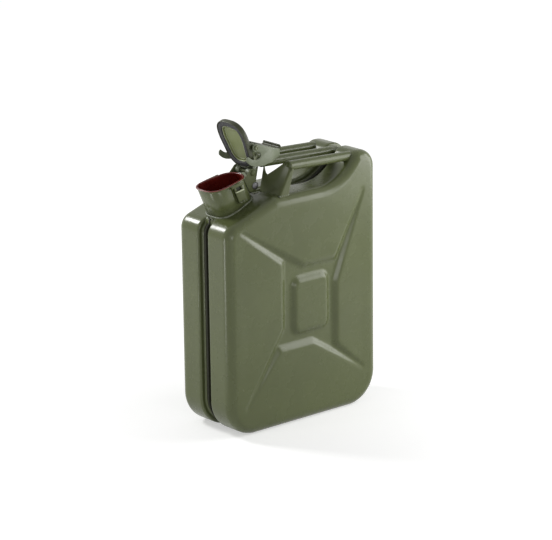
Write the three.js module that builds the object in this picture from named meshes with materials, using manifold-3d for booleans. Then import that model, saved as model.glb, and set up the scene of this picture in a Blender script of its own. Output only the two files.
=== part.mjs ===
// Steel jerry can: two pressed half shells, a leaning spout with a hinged cap and cam lever, tube handles.
// Millimetres, +Z up. The origin lies on the floor under the middle of the body.
// X runs along the length with the spout at the negative end. Y runs across the width, the near face at -Y.
import * as THREE from 'three';
import { ConvexGeometry } from 'three/addons/geometries/ConvexGeometry.js';
import { mergeVertices } from 'three/addons/utils/BufferGeometryUtils.js';
import Module from 'manifold-3d';

const wasm = await Module();
wasm.setup();

// Body of the can
const BODY_LENGTH = 345;
const BODY_WIDTH = 150;
const BODY_HEIGHT = 470;
const VALLEY_DEPTH = 51;
const SHOULDER_DROP = 30;
const SHOULDER_LENGTH = 112.5;
const HUMP_TOP_LENGTH = 51.5;
const HUMP_SLOPE_LENGTH = 51;
const BOTTOM_CORNER_R = 60;
const REAR_TOP_CORNER_R = 34;
const HUMP_FRONT_R = 30;
const VALLEY_REAR_R = 126;
const VALLEY_FRONT_R = 40;
const SHOULDER_CORNER_R = 50;
const FACE_EDGE_R = 27.4;
const WALL = 1;
const CLEARANCE = 0.3;

// Seam groove around the middle, with the weld ridge in it
const GROOVE_WIDTH = 24.6;
const GROOVE_DEPTH = 10;
const SEAM_WIDTH = 3;
const SEAM_RIDGE = 5;

// Cross pressing in each wide face: arm tips are set from the body's edges, panel corners from the boss
const PRESS_CENTRE_SHIFT = 14;
const PRESS_CENTRE_RISE = 20.5;
const PRESS_DEPTH = 7;
const PRESS_SLOPE = 7;
const PRESS_BACK_SHIFT = 1.5;
const TIP_TOP_FRONT_MARGIN = 31.5;
const TIP_TOP_FRONT_DROP = 16;
const TIP_TOP_REAR_MARGIN = 34.5;
const TIP_TOP_REAR_DROP = 71;
const TIP_LOW_REAR_MARGIN = 36.5;
const TIP_LOW_REAR_HEIGHT = 71;
const TIP_LOW_FRONT_MARGIN = 39.5;
const TIP_LOW_FRONT_HEIGHT = 50;
const FIELD_HALF_LENGTH = 61;
const FIELD_HALF_HEIGHT = 72;
const TOP_PANEL_FRONT = 12;
const TOP_PANEL_REAR = 60;
const REAR_PANEL_TOP = 28;
const REAR_PANEL_BOTTOM = 88;
const LOW_PANEL_REAR = 7;
const LOW_PANEL_FRONT = 70;
const FRONT_PANEL_BOTTOM = 35;
const FRONT_PANEL_TOP = 85;
const BOSS_LENGTH = 84;
const BOSS_HEIGHT = 106;
const BOSS_CORNER_R = 12;
const BOSS_SLOPE = 5;

// Spout: the hinge axis is its reference line, and the mouth lies in front of that line
const HINGE_SETBACK = 97.1;
const HINGE_RISE = 39.5;
const MOUTH_TILT = 10.8;
const MOUTH_FRONT_SETBACK = 65.2;
const MOUTH_REAR_SETBACK = 39.4;
const MOUTH_FRONT_R = 32.2;
const MOUTH_REAR_R = 28.5;
const RIM_LIP = 1.8;
const RIM_HEIGHT = 3.5;
const NECK_WALL = 1.5;
const NECK_LEAN = 12.45;
const NECK_REACH = 85;
const COLLAR_WIDTH = 4;
const COLLAR_HEIGHT = 2.6;
const PAD_MARGIN = 5;

// Breather tube inside
const VENT_R = 4;
const VENT_WALL = 1;
const VENT_TOP_DEPTH = 18;
const VENT_BOTTOM_DEPTH = 48;
const VENT_DROP = 27;
const VENT_FRONT_RUN = 46.5;
const VENT_SLOPE_DROP = 32;
const VENT_END_DROP = 25;
const VENT_END_REACH = 13;

// Fixed half of the hinge
const HINGE_PIN_R = 3;
const HINGE_RIVET_R = 2.5;
const HINGE_RIVET_HEAD_R = 6.5;
const HINGE_ARM_R = 8;
const HINGE_ARM_THICKNESS = 3;
const HINGE_ARM_DROP = 24;
const HINGE_ARM_REACH = 32;
const HINGE_ARM_NECK_DROP = 9;
const RIVET_HEAD_HEIGHT = 2;

// Cap, drawn closed on the mouth
const OPEN_ANGLE = 78;
const CAP_OVERHANG = 3.6;
const CAP_WALL = 1.4;
const CAP_TOP = 10;
const CAP_EDGE_R = 4;
const SKIRT_DROP = 0.6;
const GASKET_THICKNESS = 3.5;
const GASKET_OUTSET = 1.9;
const GASKET_INSET = 5;
const PLATE_THICKNESS = 1.5;
const PLATE_STEP_INSET = 6;
const PLATE_STEP_DROP = 1;
const PLATE_CENTRE_INSET = 11;
const PLATE_CENTRE_DROP = 3;
const KNUCKLE_R = 6;
const KNUCKLE_HALF_WIDTH = 19.4;
const KNUCKLE_GAP = 18;
const STRAP_EAR_GAP = 3;
const STRAP_THICKNESS = 2;
const SKIRT_STRAP_GAP = 0.9;

// Ears on the cap, and the rivets that carry the lever
const LEVER_PIVOT_SETBACK = 46.4;
const LEVER_PIVOT_RISE = 14.4;
const EAR_INNER = 26;
const EAR_THICKNESS = 2.7;
const EAR_R = 6.5;
const EAR_FOOT_WIDTH = 7;
const EAR_FOOT_THICKNESS = 2;
const LEVER_RIVET_R = 2.2;
const LEVER_RIVET_HEAD_R = 4.5;
const SPACER_R = 3.9;
const SPACER_LENGTH = 7.2;

// Cam lever, drawn as it stands with the cap open: x to the rear and z up from its pivot
const LEVER_LIFT = 67.2;
const LEVER_PLATE = 2.5;
const LEVER_BOSS_R = 6.8;
const LEVER_FOLD = 36;
const LEVER_FOLD_DROP = 5;
const LEVER_REACH = 65;
const LEVER_END_DROP = 14.5;
const LEVER_END_HEIGHT = 12.5;
const LEVER_HEEL = 23;
const LEVER_HEEL_DROP = 33;
const LEVER_TAPER = 14;
const WEB_THICKNESS = 2;
const LIP_REACH = 1;
const LIP_RISE = 5;
const HOOK_INNER_R = 21.3;
const HOOK_DEPTH = 11.8;
const HOOK_TIP_DEPTH = 5;
const HOOK_TIP_ANGLE = 217.5;
const HOOK_TIP_BEVEL = 3;
const HOOK_FLANK_DEPTH = 8.9;
const HOOK_FLANK_ANGLE = 227.5;
const HOOK_BULGE_DEPTH = 12.3;
const HOOK_BULGE_ANGLE = 247;
const HOOK_BOTTOM_ANGLE = 267;
const HOOK_ROOT_ANGLE = 290;
const HEEL_BULGE = 2;
const THROAT_DEPTH = 13.6;
const THROAT_DROP = 8.8;

// Catch lugs on the neck
const NOSE_HALF_LENGTH = 4;
const NOSE_THICKNESS = 4;
const NOSE_PLAY = 1;
const NOSE_WIDTH = 5;
const LUG_PLAY = 1;
const LUG_HALF_LENGTH = 9;
const LUG_TOP_DROP = 1.6;
const LUG_HEIGHT = 36;

// Handles and their front brackets
const HANDLE_R = 8.5;
const HANDLE_WALL = 1.5;
const HANDLE_TOP_DROP = 1.5;
const HANDLE_SPACING = 48;
const HANDLE_NOSE = 4;
const HANDLE_REAR_RUN = 12;
const BRACKET_SETBACK = 124.5;
const BRACKET_LEAN = 34;
const BRACKET_THICKNESS = 2;
const BRACKET_GAP = 12;
const BRACKET_HALF_WIDTH = 62;
const BRACKET_HORN_WIDTH = 3.5;
const BRACKET_HORN_DROP = 3.5;
const BRACKET_SCALLOP_RISE = 25;
const BRACKET_SIDE_SLANT = 5;
const FLANGE_FOOT_LENGTH = 18;
const FLANGE_TOP_LENGTH = 10;

// Cutters run past the surfaces that they cut by this much
const OVERSHOOT = 6;

// Share of a short edge that the fillets at its two ends may take up
const FILLET_ROOM = 0.9;

// Facets on round forms
const CORNER_SEGMENTS = 4;
const EDGE_SEGMENTS = 4;
const MOUTH_SEGMENTS = 8;
const ROUND_SEGMENTS = 16;
const BOSS_SEGMENTS = 2;
const CAP_EDGE_SEGMENTS = 3;
const VENT_SEGMENTS = 4;
const VENT_STEPS = 22;

// Positions that follow from the driving dimensions
const rad = THREE.MathUtils.degToRad;
const FRONT_X = -BODY_LENGTH / 2;
const REAR_X = BODY_LENGTH / 2;
const VALLEY_HEIGHT = BODY_HEIGHT - VALLEY_DEPTH;
const SHOULDER_HEIGHT = VALLEY_HEIGHT - SHOULDER_DROP;
const PRESS_CENTRE_HEIGHT = SHOULDER_HEIGHT / 2 + PRESS_CENTRE_RISE;
const HUMP_FRONT_X = REAR_X - HUMP_TOP_LENGTH;
const VALLEY_REAR_X = HUMP_FRONT_X - HUMP_SLOPE_LENGTH;
const VALLEY_FRONT_X = FRONT_X + SHOULDER_LENGTH;
const HINGE_X = FRONT_X + HINGE_SETBACK;
const HINGE_Z = VALLEY_HEIGHT + HINGE_RISE;
const NECK_INSET = RIM_LIP + NECK_WALL;
const NECK_SHEAR = Math.tan(rad(NECK_LEAN));
const ARM_INNER = KNUCKLE_HALF_WIDTH + 2 * CLEARANCE;
const ARM_OUTER = ARM_INNER + HINGE_ARM_THICKNESS;
const STRAP_BASE = CAP_TOP + CLEARANCE;
const STRAP_LENGTH = LEVER_PIVOT_SETBACK - EAR_R - STRAP_EAR_GAP;
const GASKET_TOP = CLEARANCE + GASKET_THICKNESS;
const PLATE_BASE = GASKET_TOP + CLEARANCE;
const EAR_OUTER = EAR_INNER + EAR_THICKNESS;
const SPACER_INNER = EAR_OUTER + CLEARANCE;
const SPACER_OUTER = SPACER_INNER + SPACER_LENGTH;
const LEVER_INNER = SPACER_OUTER + CLEARANCE;
const LEVER_OUTER = LEVER_INNER + LEVER_PLATE;
const HEEL_SLOPE = (LEVER_HEEL_DROP - LEVER_END_DROP - LEVER_END_HEIGHT) / (LEVER_REACH - LEVER_HEEL);
const FOLD_LOW_EDGE = -LEVER_HEEL_DROP + (LEVER_FOLD - LEVER_HEEL) * HEEL_SLOPE;
const HANDLE_Z = BODY_HEIGHT - HANDLE_TOP_DROP - HANDLE_R;
const BRACKET_FOOT_X = FRONT_X + BRACKET_SETBACK;
const BRACKET_SHEAR = Math.tan(rad(BRACKET_LEAN));
const HANDLE_FRONT_X = BRACKET_FOOT_X + (HANDLE_Z - VALLEY_HEIGHT) * BRACKET_SHEAR - HANDLE_NOSE;
const SIDES = { near: -1, far: 1 };

function paint(color, roughness, metalness) {
  return new THREE.MeshStandardMaterial({ color, roughness, metalness });
}

const OLIVE = paint(0x5c6150, 0.42, 0.1);
const SAGE = paint(0x8b957f, 0.45, 0.15);
const PLATE_GREEN = paint(0x6d7650, 0.5, 0.05);
const ZINC = paint(0x9a9c9e, 0.35, 0.85);
const RUBBER = paint(0x2b2b2d, 0.8, 0);

// A closed geometry becomes a solid that can be joined and cut.
function solid(geometry) {
  geometry.deleteAttribute('normal');
  geometry.deleteAttribute('uv');
  const merged = mergeVertices(geometry, 1e-4);
  const vertProperties = Float32Array.from(merged.getAttribute('position').array);
  const triVerts = Uint32Array.from(merged.index.array);
  return new wasm.Manifold(new wasm.Mesh({ numProp: 3, vertProperties, triVerts }));
}

// A solid goes back to a geometry.
function geometryOf(manifold) {
  const data = manifold.getMesh();
  const geometry = new THREE.BufferGeometry();
  geometry.setAttribute('position', new THREE.BufferAttribute(Float32Array.from(data.vertProperties), 3));
  geometry.setIndex(new THREE.BufferAttribute(Uint32Array.from(data.triVerts), 1));
  geometry.computeVertexNormals();
  return geometry;
}

function part(name, manifold, material) {
  const mesh = new THREE.Mesh(geometryOf(manifold), material);
  mesh.name = name;
  return mesh;
}

function polygon(points) {
  return new THREE.Shape(points.map(([x, y]) => new THREE.Vector2(x, y)));
}

function polar(radius, degrees) {
  return [radius * Math.cos(rad(degrees)), radius * Math.sin(rad(degrees))];
}

// A side-view shape (X and Z) swept across the width between two Y values, with optional tapered ends.
function sweepY(shape, yA, yB, taperDepth = 0, taperSize = 0, segments = CORNER_SEGMENTS) {
  const options = {
    depth: Math.abs(yB - yA),
    curveSegments: segments,
    bevelEnabled: taperDepth > 0,
    bevelThickness: taperDepth,
    bevelSize: taperSize,
    bevelOffset: -taperSize,
    bevelSegments: 1,
  };
  const geometry = new THREE.ExtrudeGeometry(shape, options);
  geometry.rotateX(Math.PI / 2);
  geometry.translate(0, Math.max(yA, yB), 0);
  return geometry;
}

// A round rod along Y at a side-view position.
function rodY(x, z, radius, yA, yB) {
  const geometry = new THREE.CylinderGeometry(radius, radius, Math.abs(yB - yA), ROUND_SEGMENTS);
  geometry.translate(x, (yA + yB) / 2, z);
  return geometry;
}

// A box between two corners; the two Y values may come in either order.
function boxGeometry(fromX, toX, fromY, toY, fromZ, toZ) {
  const geometry = new THREE.BoxGeometry(toX - fromX, Math.abs(toY - fromY), toZ - fromZ);
  geometry.translate((fromX + toX) / 2, (fromY + toY) / 2, (fromZ + toZ) / 2);
  return geometry;
}

// A turned piece along Y, given as pairs of radius and distance from the middle plane.
function turnedY(pairs, x, z) {
  const geometry = new THREE.LatheGeometry(pairs.map(([r, y]) => new THREE.Vector2(r, y)), ROUND_SEGMENTS);
  geometry.translate(x, 0, z);
  return geometry;
}

// Side profile of the body, drawn any distance inside the outer skin (negative lies outside).
const PROFILE_CORNERS = [
  { x: FRONT_X, z: 0, r: BOTTOM_CORNER_R },
  { x: REAR_X, z: 0, r: BOTTOM_CORNER_R },
  { x: REAR_X, z: BODY_HEIGHT, r: REAR_TOP_CORNER_R },
  { x: HUMP_FRONT_X, z: BODY_HEIGHT, r: HUMP_FRONT_R },
  { x: VALLEY_REAR_X, z: VALLEY_HEIGHT, r: VALLEY_REAR_R },
  { x: VALLEY_FRONT_X, z: VALLEY_HEIGHT, r: VALLEY_FRONT_R },
  { x: FRONT_X, z: SHOULDER_HEIGHT, r: SHOULDER_CORNER_R },
];

const PROFILE_EDGES = PROFILE_CORNERS.map((from, i) => {
  const to = PROFILE_CORNERS[(i + 1) % PROFILE_CORNERS.length];
  const along = new THREE.Vector2(to.x - from.x, to.z - from.z);
  const length = along.length();
  along.normalize();
  return { from: new THREE.Vector2(from.x, from.z), along, inward: new THREE.Vector2(-along.y, along.x), length };
});

// The edges before and after a corner, the bend between them, and the straight length that its fillet takes up.
function cornerAt(i) {
  const count = PROFILE_CORNERS.length;
  const index = (i + count) % count;
  const before = PROFILE_EDGES[(index + count - 1) % count];
  const after = PROFILE_EDGES[index];
  const bend = Math.acos(before.along.dot(after.along));
  return { before, after, bend, tangent: PROFILE_CORNERS[index].r * Math.tan(bend / 2) };
}

// The radius of a corner, which gives way where two fillets would meet on a short edge.
function cornerRadius(i) {
  const { before, after, tangent } = cornerAt(i);
  const roomBefore = before.length / (tangent + cornerAt(i - 1).tangent);
  const roomAfter = after.length / (tangent + cornerAt(i + 1).tangent);
  return PROFILE_CORNERS[i].r * Math.min(1, FILLET_ROOM * roomBefore, FILLET_ROOM * roomAfter);
}

function profile(inset) {
  const shape = new THREE.Shape();
  PROFILE_CORNERS.forEach((corner, i) => {
    const { before, after, bend } = cornerAt(i);
    const side = Math.sign(before.along.cross(after.along));
    const radius = cornerRadius(i) - side * inset;
    const reach = cornerRadius(i) * Math.tan(bend / 2);
    const start = after.from.clone().addScaledVector(before.along, -reach).addScaledVector(before.inward, inset);
    const centre = start.clone().addScaledVector(before.inward, side * radius);
    const from = Math.atan2(start.y - centre.y, start.x - centre.x);
    shape.absarc(centre.x, centre.y, radius, from, from + side * bend, side < 0);
  });
  return shape;
}

// The whole body as one rounded block, its skin inset by a distance.
function bodyBlock(inset) {
  const edge = FACE_EDGE_R - inset;
  const options = {
    depth: BODY_WIDTH - 2 * FACE_EDGE_R,
    bevelThickness: edge,
    bevelSize: edge,
    bevelOffset: -edge,
    bevelSegments: EDGE_SEGMENTS,
    curveSegments: CORNER_SEGMENTS,
  };
  const geometry = new THREE.ExtrudeGeometry(profile(inset), options);
  geometry.rotateX(Math.PI / 2);
  geometry.translate(0, BODY_WIDTH / 2 - FACE_EDGE_R, 0);
  return solid(geometry);
}

// A band that follows the side profile between two insets.
function profileBand(outerInset, innerInset, halfWidth) {
  const outer = solid(sweepY(profile(outerInset), -halfWidth, halfWidth));
  const innerHalf = halfWidth + OVERSHOOT;
  return outer.subtract(solid(sweepY(profile(innerInset), -innerHalf, innerHalf)));
}

// Mouth outline in its own plane (x to the rear): two circles and their common tangents.
function mouthShape(offset) {
  const spacing = MOUTH_FRONT_SETBACK - MOUTH_REAR_SETBACK;
  const taper = Math.asin((MOUTH_FRONT_R - MOUTH_REAR_R) / spacing);
  const shape = new THREE.Shape();
  const frontStart = Math.PI / 2 - taper;
  shape.absarc(-MOUTH_FRONT_SETBACK, 0, MOUTH_FRONT_R + offset, frontStart, 2 * Math.PI - frontStart, false);
  shape.absarc(-MOUTH_REAR_SETBACK, 0, MOUTH_REAR_R + offset, -frontStart, frontStart, false);
  return shape;
}

// A prism on the mouth outline between two heights over the mouth plane.
function mouthPrism(offset, fromZ, toZ) {
  const options = { depth: toZ - fromZ, bevelEnabled: false, curveSegments: MOUTH_SEGMENTS };
  return new THREE.ExtrudeGeometry(mouthShape(offset), options).translate(0, 0, fromZ);
}

// Spout frame: origin on the hinge axis, x along the mouth plane to the rear, z out of the mouth.
const spoutFrame = new THREE.Matrix4().makeRotationY(-rad(MOUTH_TILT)).setPosition(HINGE_X, 0, HINGE_Z);
const neckShear = new THREE.Matrix4().makeShear(0, 0, 0, 0, -NECK_SHEAR, 0);

function onSpout(geometry) {
  return solid(geometry.applyMatrix4(spoutFrame));
}

function neckPrism(offset, fromZ, toZ) {
  return onSpout(mouthPrism(offset, fromZ, toZ).applyMatrix4(neckShear));
}

// Solids that neighbours are cut by
const bodyClear = bodyBlock(-CLEARANCE);
const neckClear = neckPrism(CLEARANCE - RIM_LIP, -NECK_REACH, OVERSHOOT)
  .add(neckPrism(CLEARANCE, -RIM_HEIGHT - CLEARANCE, OVERSHOOT));
const neckBore = neckPrism(-NECK_INSET, -NECK_REACH, OVERSHOOT);
const spoutPad = neckPrism(PAD_MARGIN, -NECK_REACH, OVERSHOOT);

// Cross pressing: one outline of twelve corners, with the boss standing in its middle.
function pressingCorners() {
  const x = PRESS_CENTRE_SHIFT;
  const z = PRESS_CENTRE_HEIGHT;
  return [
    [FRONT_X + TIP_TOP_FRONT_MARGIN, SHOULDER_HEIGHT - TIP_TOP_FRONT_DROP],
    [x - FIELD_HALF_LENGTH, z + FRONT_PANEL_TOP],
    [x - FIELD_HALF_LENGTH, z - FRONT_PANEL_BOTTOM],
    [FRONT_X + TIP_LOW_FRONT_MARGIN, TIP_LOW_FRONT_HEIGHT],
    [x - LOW_PANEL_FRONT, z - FIELD_HALF_HEIGHT],
    [x + LOW_PANEL_REAR, z - FIELD_HALF_HEIGHT],
    [REAR_X - TIP_LOW_REAR_MARGIN, TIP_LOW_REAR_HEIGHT],
    [x + FIELD_HALF_LENGTH, z - REAR_PANEL_BOTTOM],
    [x + FIELD_HALF_LENGTH, z + REAR_PANEL_TOP],
    [REAR_X - TIP_TOP_REAR_MARGIN, BODY_HEIGHT - TIP_TOP_REAR_DROP],
    [x + TOP_PANEL_REAR, z + FIELD_HALF_HEIGHT],
    [x - TOP_PANEL_FRONT, z + FIELD_HALF_HEIGHT],
  ];
}

// For each edge of the pressing, its two corners and how far they move inward from the face to the floor.
function pressingSlopes() {
  const corners = pressingCorners().map(([x, z]) => new THREE.Vector2(x, z));
  const edges = corners.map((from, i) => {
    const to = corners[(i + 1) % corners.length];
    const along = to.clone().sub(from).normalize();
    return { from, to, along, inward: new THREE.Vector2(-along.y, along.x) };
  });
  const shift = (edge, other, turn) => {
    if (turn > 0) {
      return edge.inward.clone().multiplyScalar(PRESS_SLOPE);
    }
    const mitre = edge.inward.clone().add(other.inward);
    return mitre.multiplyScalar(PRESS_SLOPE / (1 + edge.inward.dot(other.inward)));
  };
  return edges.map((edge, i) => {
    const before = edges[(i + edges.length - 1) % edges.length];
    const after = edges[(i + 1) % edges.length];
    const fromShift = shift(edge, before, before.along.cross(edge.along));
    const toShift = shift(edge, after, edge.along.cross(after.along));
    return [[edge.from, fromShift], [edge.to, toShift]];
  });
}

function bossShape() {
  const straightX = BOSS_LENGTH / 2 - BOSS_CORNER_R;
  const straightZ = BOSS_HEIGHT / 2 - BOSS_CORNER_R;
  const shape = new THREE.Shape();
  const corners = [[1, 1], [-1, 1], [-1, -1], [1, -1]];
  corners.forEach(([sideX, sideZ], i) => {
    const x = PRESS_CENTRE_SHIFT + sideX * straightX;
    const z = PRESS_CENTRE_HEIGHT + sideZ * straightZ;
    shape.absarc(x, z, BOSS_CORNER_R, i * Math.PI / 2, (i + 1) * Math.PI / 2, false);
  });
  return shape;
}

// The wedge of metal that stays along one edge of the pressing, from above the face to below the floor.
function pressingWedge(ends, side, faceY) {
  const over = OVERSHOOT / PRESS_DEPTH;
  const points = ends.flatMap(([corner, shift]) => {
    const at = (inward, level) => new THREE.Vector3(
      corner.x + shift.x * inward,
      faceY - side * PRESS_DEPTH * level,
      corner.y + shift.y * inward,
    );
    return [at(-over, -over), at(1 + over, 1 + over), at(-over, 1 + over)];
  });
  return solid(new ConvexGeometry(points));
}

// The cut for one pressing; depth moves it into the metal, so that the cavity keeps an even wall behind it.
function pressingCut(side, depth) {
  const faceY = side * (BODY_WIDTH / 2 - depth);
  const floorY = faceY - side * PRESS_DEPTH;
  const wedges = pressingSlopes().map((ends) => pressingWedge(ends, side, faceY));
  const slopes = wedges.reduce((sum, wedge) => sum.add(wedge));
  const opening = solid(sweepY(polygon(pressingCorners()), floorY, faceY + side * OVERSHOOT));
  const channel = opening.subtract(slopes);
  const bossRise = PRESS_DEPTH + OVERSHOOT / 2;
  const bossTaper = BOSS_SLOPE * bossRise / PRESS_DEPTH;
  const boss = sweepY(bossShape(), floorY, floorY - side * OVERSHOOT, bossRise, bossTaper, BOSS_SEGMENTS);
  return channel.subtract(solid(boss));
}

// Both half shells and the weld between them, cut from one skin of even thickness.
function bodyPieces() {
  const groove = profileBand(-OVERSHOOT, GROOVE_DEPTH, GROOVE_WIDTH / 2).subtract(spoutPad);
  const padBack = neckPrism(PAD_MARGIN - WALL, -NECK_REACH, OVERSHOOT);
  const grooveBack = profileBand(0, GROOVE_DEPTH + WALL, GROOVE_WIDTH / 2 + WALL).subtract(padBack);
  let outer = bodyBlock(0).subtract(groove);
  let cavity = bodyBlock(WALL).subtract(grooveBack);
  for (const side of Object.values(SIDES)) {
    outer = outer.subtract(pressingCut(side, 0));
    cavity = cavity.subtract(pressingCut(side, PRESS_BACK_SHIFT * WALL));
  }
  const skin = outer.subtract(cavity).subtract(neckBore);
  const seamHalf = SEAM_WIDTH / 2;
  const slice = (yA, yB) => solid(boxGeometry(
    FRONT_X - OVERSHOOT, REAR_X + OVERSHOOT,
    yA, yB,
    -OVERSHOOT, BODY_HEIGHT + OVERSHOOT,
  ));
  const half = (side) => skin.intersect(slice(side * (seamHalf + CLEARANCE), side * BODY_WIDTH));
  const ridge = profileBand(GROOVE_DEPTH - SEAM_RIDGE, GROOVE_DEPTH + WALL, seamHalf).subtract(neckBore);
  const seam = skin.intersect(slice(-seamHalf, seamHalf)).add(ridge.subtract(cavity));
  return { near: half(SIDES.near), far: half(SIDES.far), seam };
}

// Neck with its rolled lip, standing on the shoulder.
function spoutNeck() {
  const tube = neckPrism(-RIM_LIP, -NECK_REACH, 0);
  const lip = neckPrism(0, -RIM_HEIGHT, 0);
  return tube.add(lip).subtract(neckBore).subtract(bodyClear);
}

// Weld bead round the foot of the neck.
const collarZone = neckPrism(COLLAR_WIDTH - RIM_LIP, -NECK_REACH, 0);

function spoutCollar() {
  const layer = bodyBlock(-CLEARANCE - COLLAR_HEIGHT).subtract(bodyClear);
  return layer.intersect(collarZone).subtract(neckClear);
}

const collarClear = bodyBlock(-2 * CLEARANCE - COLLAR_HEIGHT)
  .intersect(neckPrism(COLLAR_WIDTH - RIM_LIP + CLEARANCE, -NECK_REACH, 0));

// Breather tube: down the rear wall of the neck, under the valley and up into the hump.
function ventTube() {
  const onNeckWall = (depth) => {
    const wallX = MOUTH_REAR_R - MOUTH_REAR_SETBACK - NECK_INSET + depth * NECK_SHEAR;
    return new THREE.Vector3(wallX - VENT_R - CLEARANCE, 0, -depth).applyMatrix4(spoutFrame);
  };
  const low = VALLEY_HEIGHT - VENT_DROP;
  const slopeX = (VALLEY_REAR_X + HUMP_FRONT_X) / 2;
  const slopeZ = (VALLEY_HEIGHT + BODY_HEIGHT) / 2 - VENT_SLOPE_DROP;
  const path = new THREE.CatmullRomCurve3([
    onNeckWall(VENT_TOP_DEPTH),
    onNeckWall((VENT_TOP_DEPTH + VENT_BOTTOM_DEPTH) / 2),
    onNeckWall(VENT_BOTTOM_DEPTH),
    new THREE.Vector3(VALLEY_FRONT_X + VENT_FRONT_RUN, 0, low),
    new THREE.Vector3(VALLEY_REAR_X, 0, low),
    new THREE.Vector3(slopeX, 0, slopeZ),
    new THREE.Vector3(HUMP_FRONT_X + VENT_END_REACH, 0, BODY_HEIGHT - VENT_END_DROP),
  ]);
  const section = new THREE.Shape().absarc(0, 0, VENT_R, 0, 2 * Math.PI, false);
  section.holes.push(new THREE.Path().absarc(0, 0, VENT_R - VENT_WALL, 0, 2 * Math.PI, true));
  const options = { steps: VENT_STEPS, curveSegments: VENT_SEGMENTS, bevelEnabled: false, extrudePath: path };
  return solid(new THREE.ExtrudeGeometry(section, options));
}

// Hinge arm: a link plate from the pin down to the lower rivet, with its front edge on the neck.
function hingeArm(side) {
  const shape = new THREE.Shape();
  shape.absarc(0, 0, HINGE_ARM_R, 0, Math.PI, false);
  shape.lineTo(-HINGE_ARM_REACH, -HINGE_ARM_NECK_DROP);
  shape.lineTo(-HINGE_ARM_REACH, -HINGE_ARM_DROP - HINGE_ARM_R);
  shape.absarc(0, -HINGE_ARM_DROP, HINGE_ARM_R, 1.5 * Math.PI, 2 * Math.PI, false);
  const past = side * (ARM_OUTER + OVERSHOOT);
  const plate = onSpout(sweepY(shape, side * ARM_INNER, side * ARM_OUTER));
  const pinHole = onSpout(rodY(0, 0, HINGE_PIN_R + CLEARANCE, 0, past));
  const rivetHole = onSpout(rodY(0, -HINGE_ARM_DROP, HINGE_RIVET_R + CLEARANCE, 0, past));
  return plate.subtract(pinHole).subtract(rivetHole).subtract(neckClear).subtract(collarClear);
}

// A cross pin through both arms, with a low head at each end.
function crossPin(z, shankR, headR) {
  const seat = ARM_OUTER + CLEARANCE;
  const end = seat + RIVET_HEAD_HEIGHT;
  const chamfer = RIVET_HEAD_HEIGHT / 2;
  const pairs = [
    [0, -end],
    [headR - chamfer, -end],
    [headR, -end + chamfer],
    [headR, -seat],
    [shankR, -seat],
    [shankR, seat],
    [headR, seat],
    [headR, end - chamfer],
    [headR - chamfer, end],
    [0, end],
  ];
  return onSpout(turnedY(pairs, 0, z));
}

// Catch lug: a block on the side of the neck with a nose that the lever hooks under.
function catchLug(side) {
  const outerY = LEVER_INNER - LUG_PLAY;
  const noseR = HOOK_INNER_R - NOSE_PLAY;
  const noseLow = LEVER_PIVOT_RISE - Math.sqrt(noseR ** 2 - NOSE_HALF_LENGTH ** 2);
  const front = -LEVER_PIVOT_SETBACK - LUG_HALF_LENGTH;
  const rear = -LEVER_PIVOT_SETBACK + LUG_HALF_LENGTH;
  const shift = LUG_HEIGHT * NECK_SHEAR;
  const low = -LUG_TOP_DROP - LUG_HEIGHT;
  const plate = polygon([
    [front, -LUG_TOP_DROP],
    [front + shift, low],
    [rear + shift, low],
    [rear, -LUG_TOP_DROP],
  ]);
  const nose = boxGeometry(
    -LEVER_PIVOT_SETBACK - NOSE_HALF_LENGTH, -LEVER_PIVOT_SETBACK + NOSE_HALF_LENGTH,
    side * (outerY - NOSE_WIDTH), side * (outerY + NOSE_WIDTH),
    noseLow, noseLow + NOSE_THICKNESS,
  );
  const block = onSpout(sweepY(plate, side * (MOUTH_REAR_R / 2), side * outerY)).add(onSpout(nose));
  return block.subtract(neckClear).subtract(bodyClear).subtract(collarClear);
}

// Handle: a tube with a closed round front end, cut to the hump behind.
function handle(y) {
  const rearX = HUMP_FRONT_X + HANDLE_REAR_RUN;
  const bore = HANDLE_R - HANDLE_WALL;
  const profilePoints = [
    new THREE.Vector2(0, HANDLE_FRONT_X),
    new THREE.Vector2(HANDLE_R / 2, HANDLE_FRONT_X),
    new THREE.Vector2(HANDLE_R - HANDLE_WALL / 2, HANDLE_FRONT_X + HANDLE_WALL),
    new THREE.Vector2(HANDLE_R, HANDLE_FRONT_X + 2 * HANDLE_WALL),
    new THREE.Vector2(HANDLE_R, rearX),
    new THREE.Vector2(bore, rearX),
    new THREE.Vector2(bore, HANDLE_FRONT_X + 2 * HANDLE_WALL),
    new THREE.Vector2(0, HANDLE_FRONT_X + 2 * HANDLE_WALL),
  ];
  const geometry = new THREE.LatheGeometry(profilePoints, ROUND_SEGMENTS);
  geometry.rotateZ(-Math.PI / 2);
  geometry.translate(0, y, HANDLE_Z);
  return solid(geometry).subtract(bodyClear);
}

function handleClear(y) {
  const radius = HANDLE_R + CLEARANCE;
  const geometry = new THREE.CylinderGeometry(radius, radius, BODY_LENGTH, ROUND_SEGMENTS);
  geometry.rotateZ(-Math.PI / 2);
  geometry.translate(HANDLE_FRONT_X - CLEARANCE + BODY_LENGTH / 2, y, HANDLE_Z);
  return solid(geometry);
}

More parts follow.
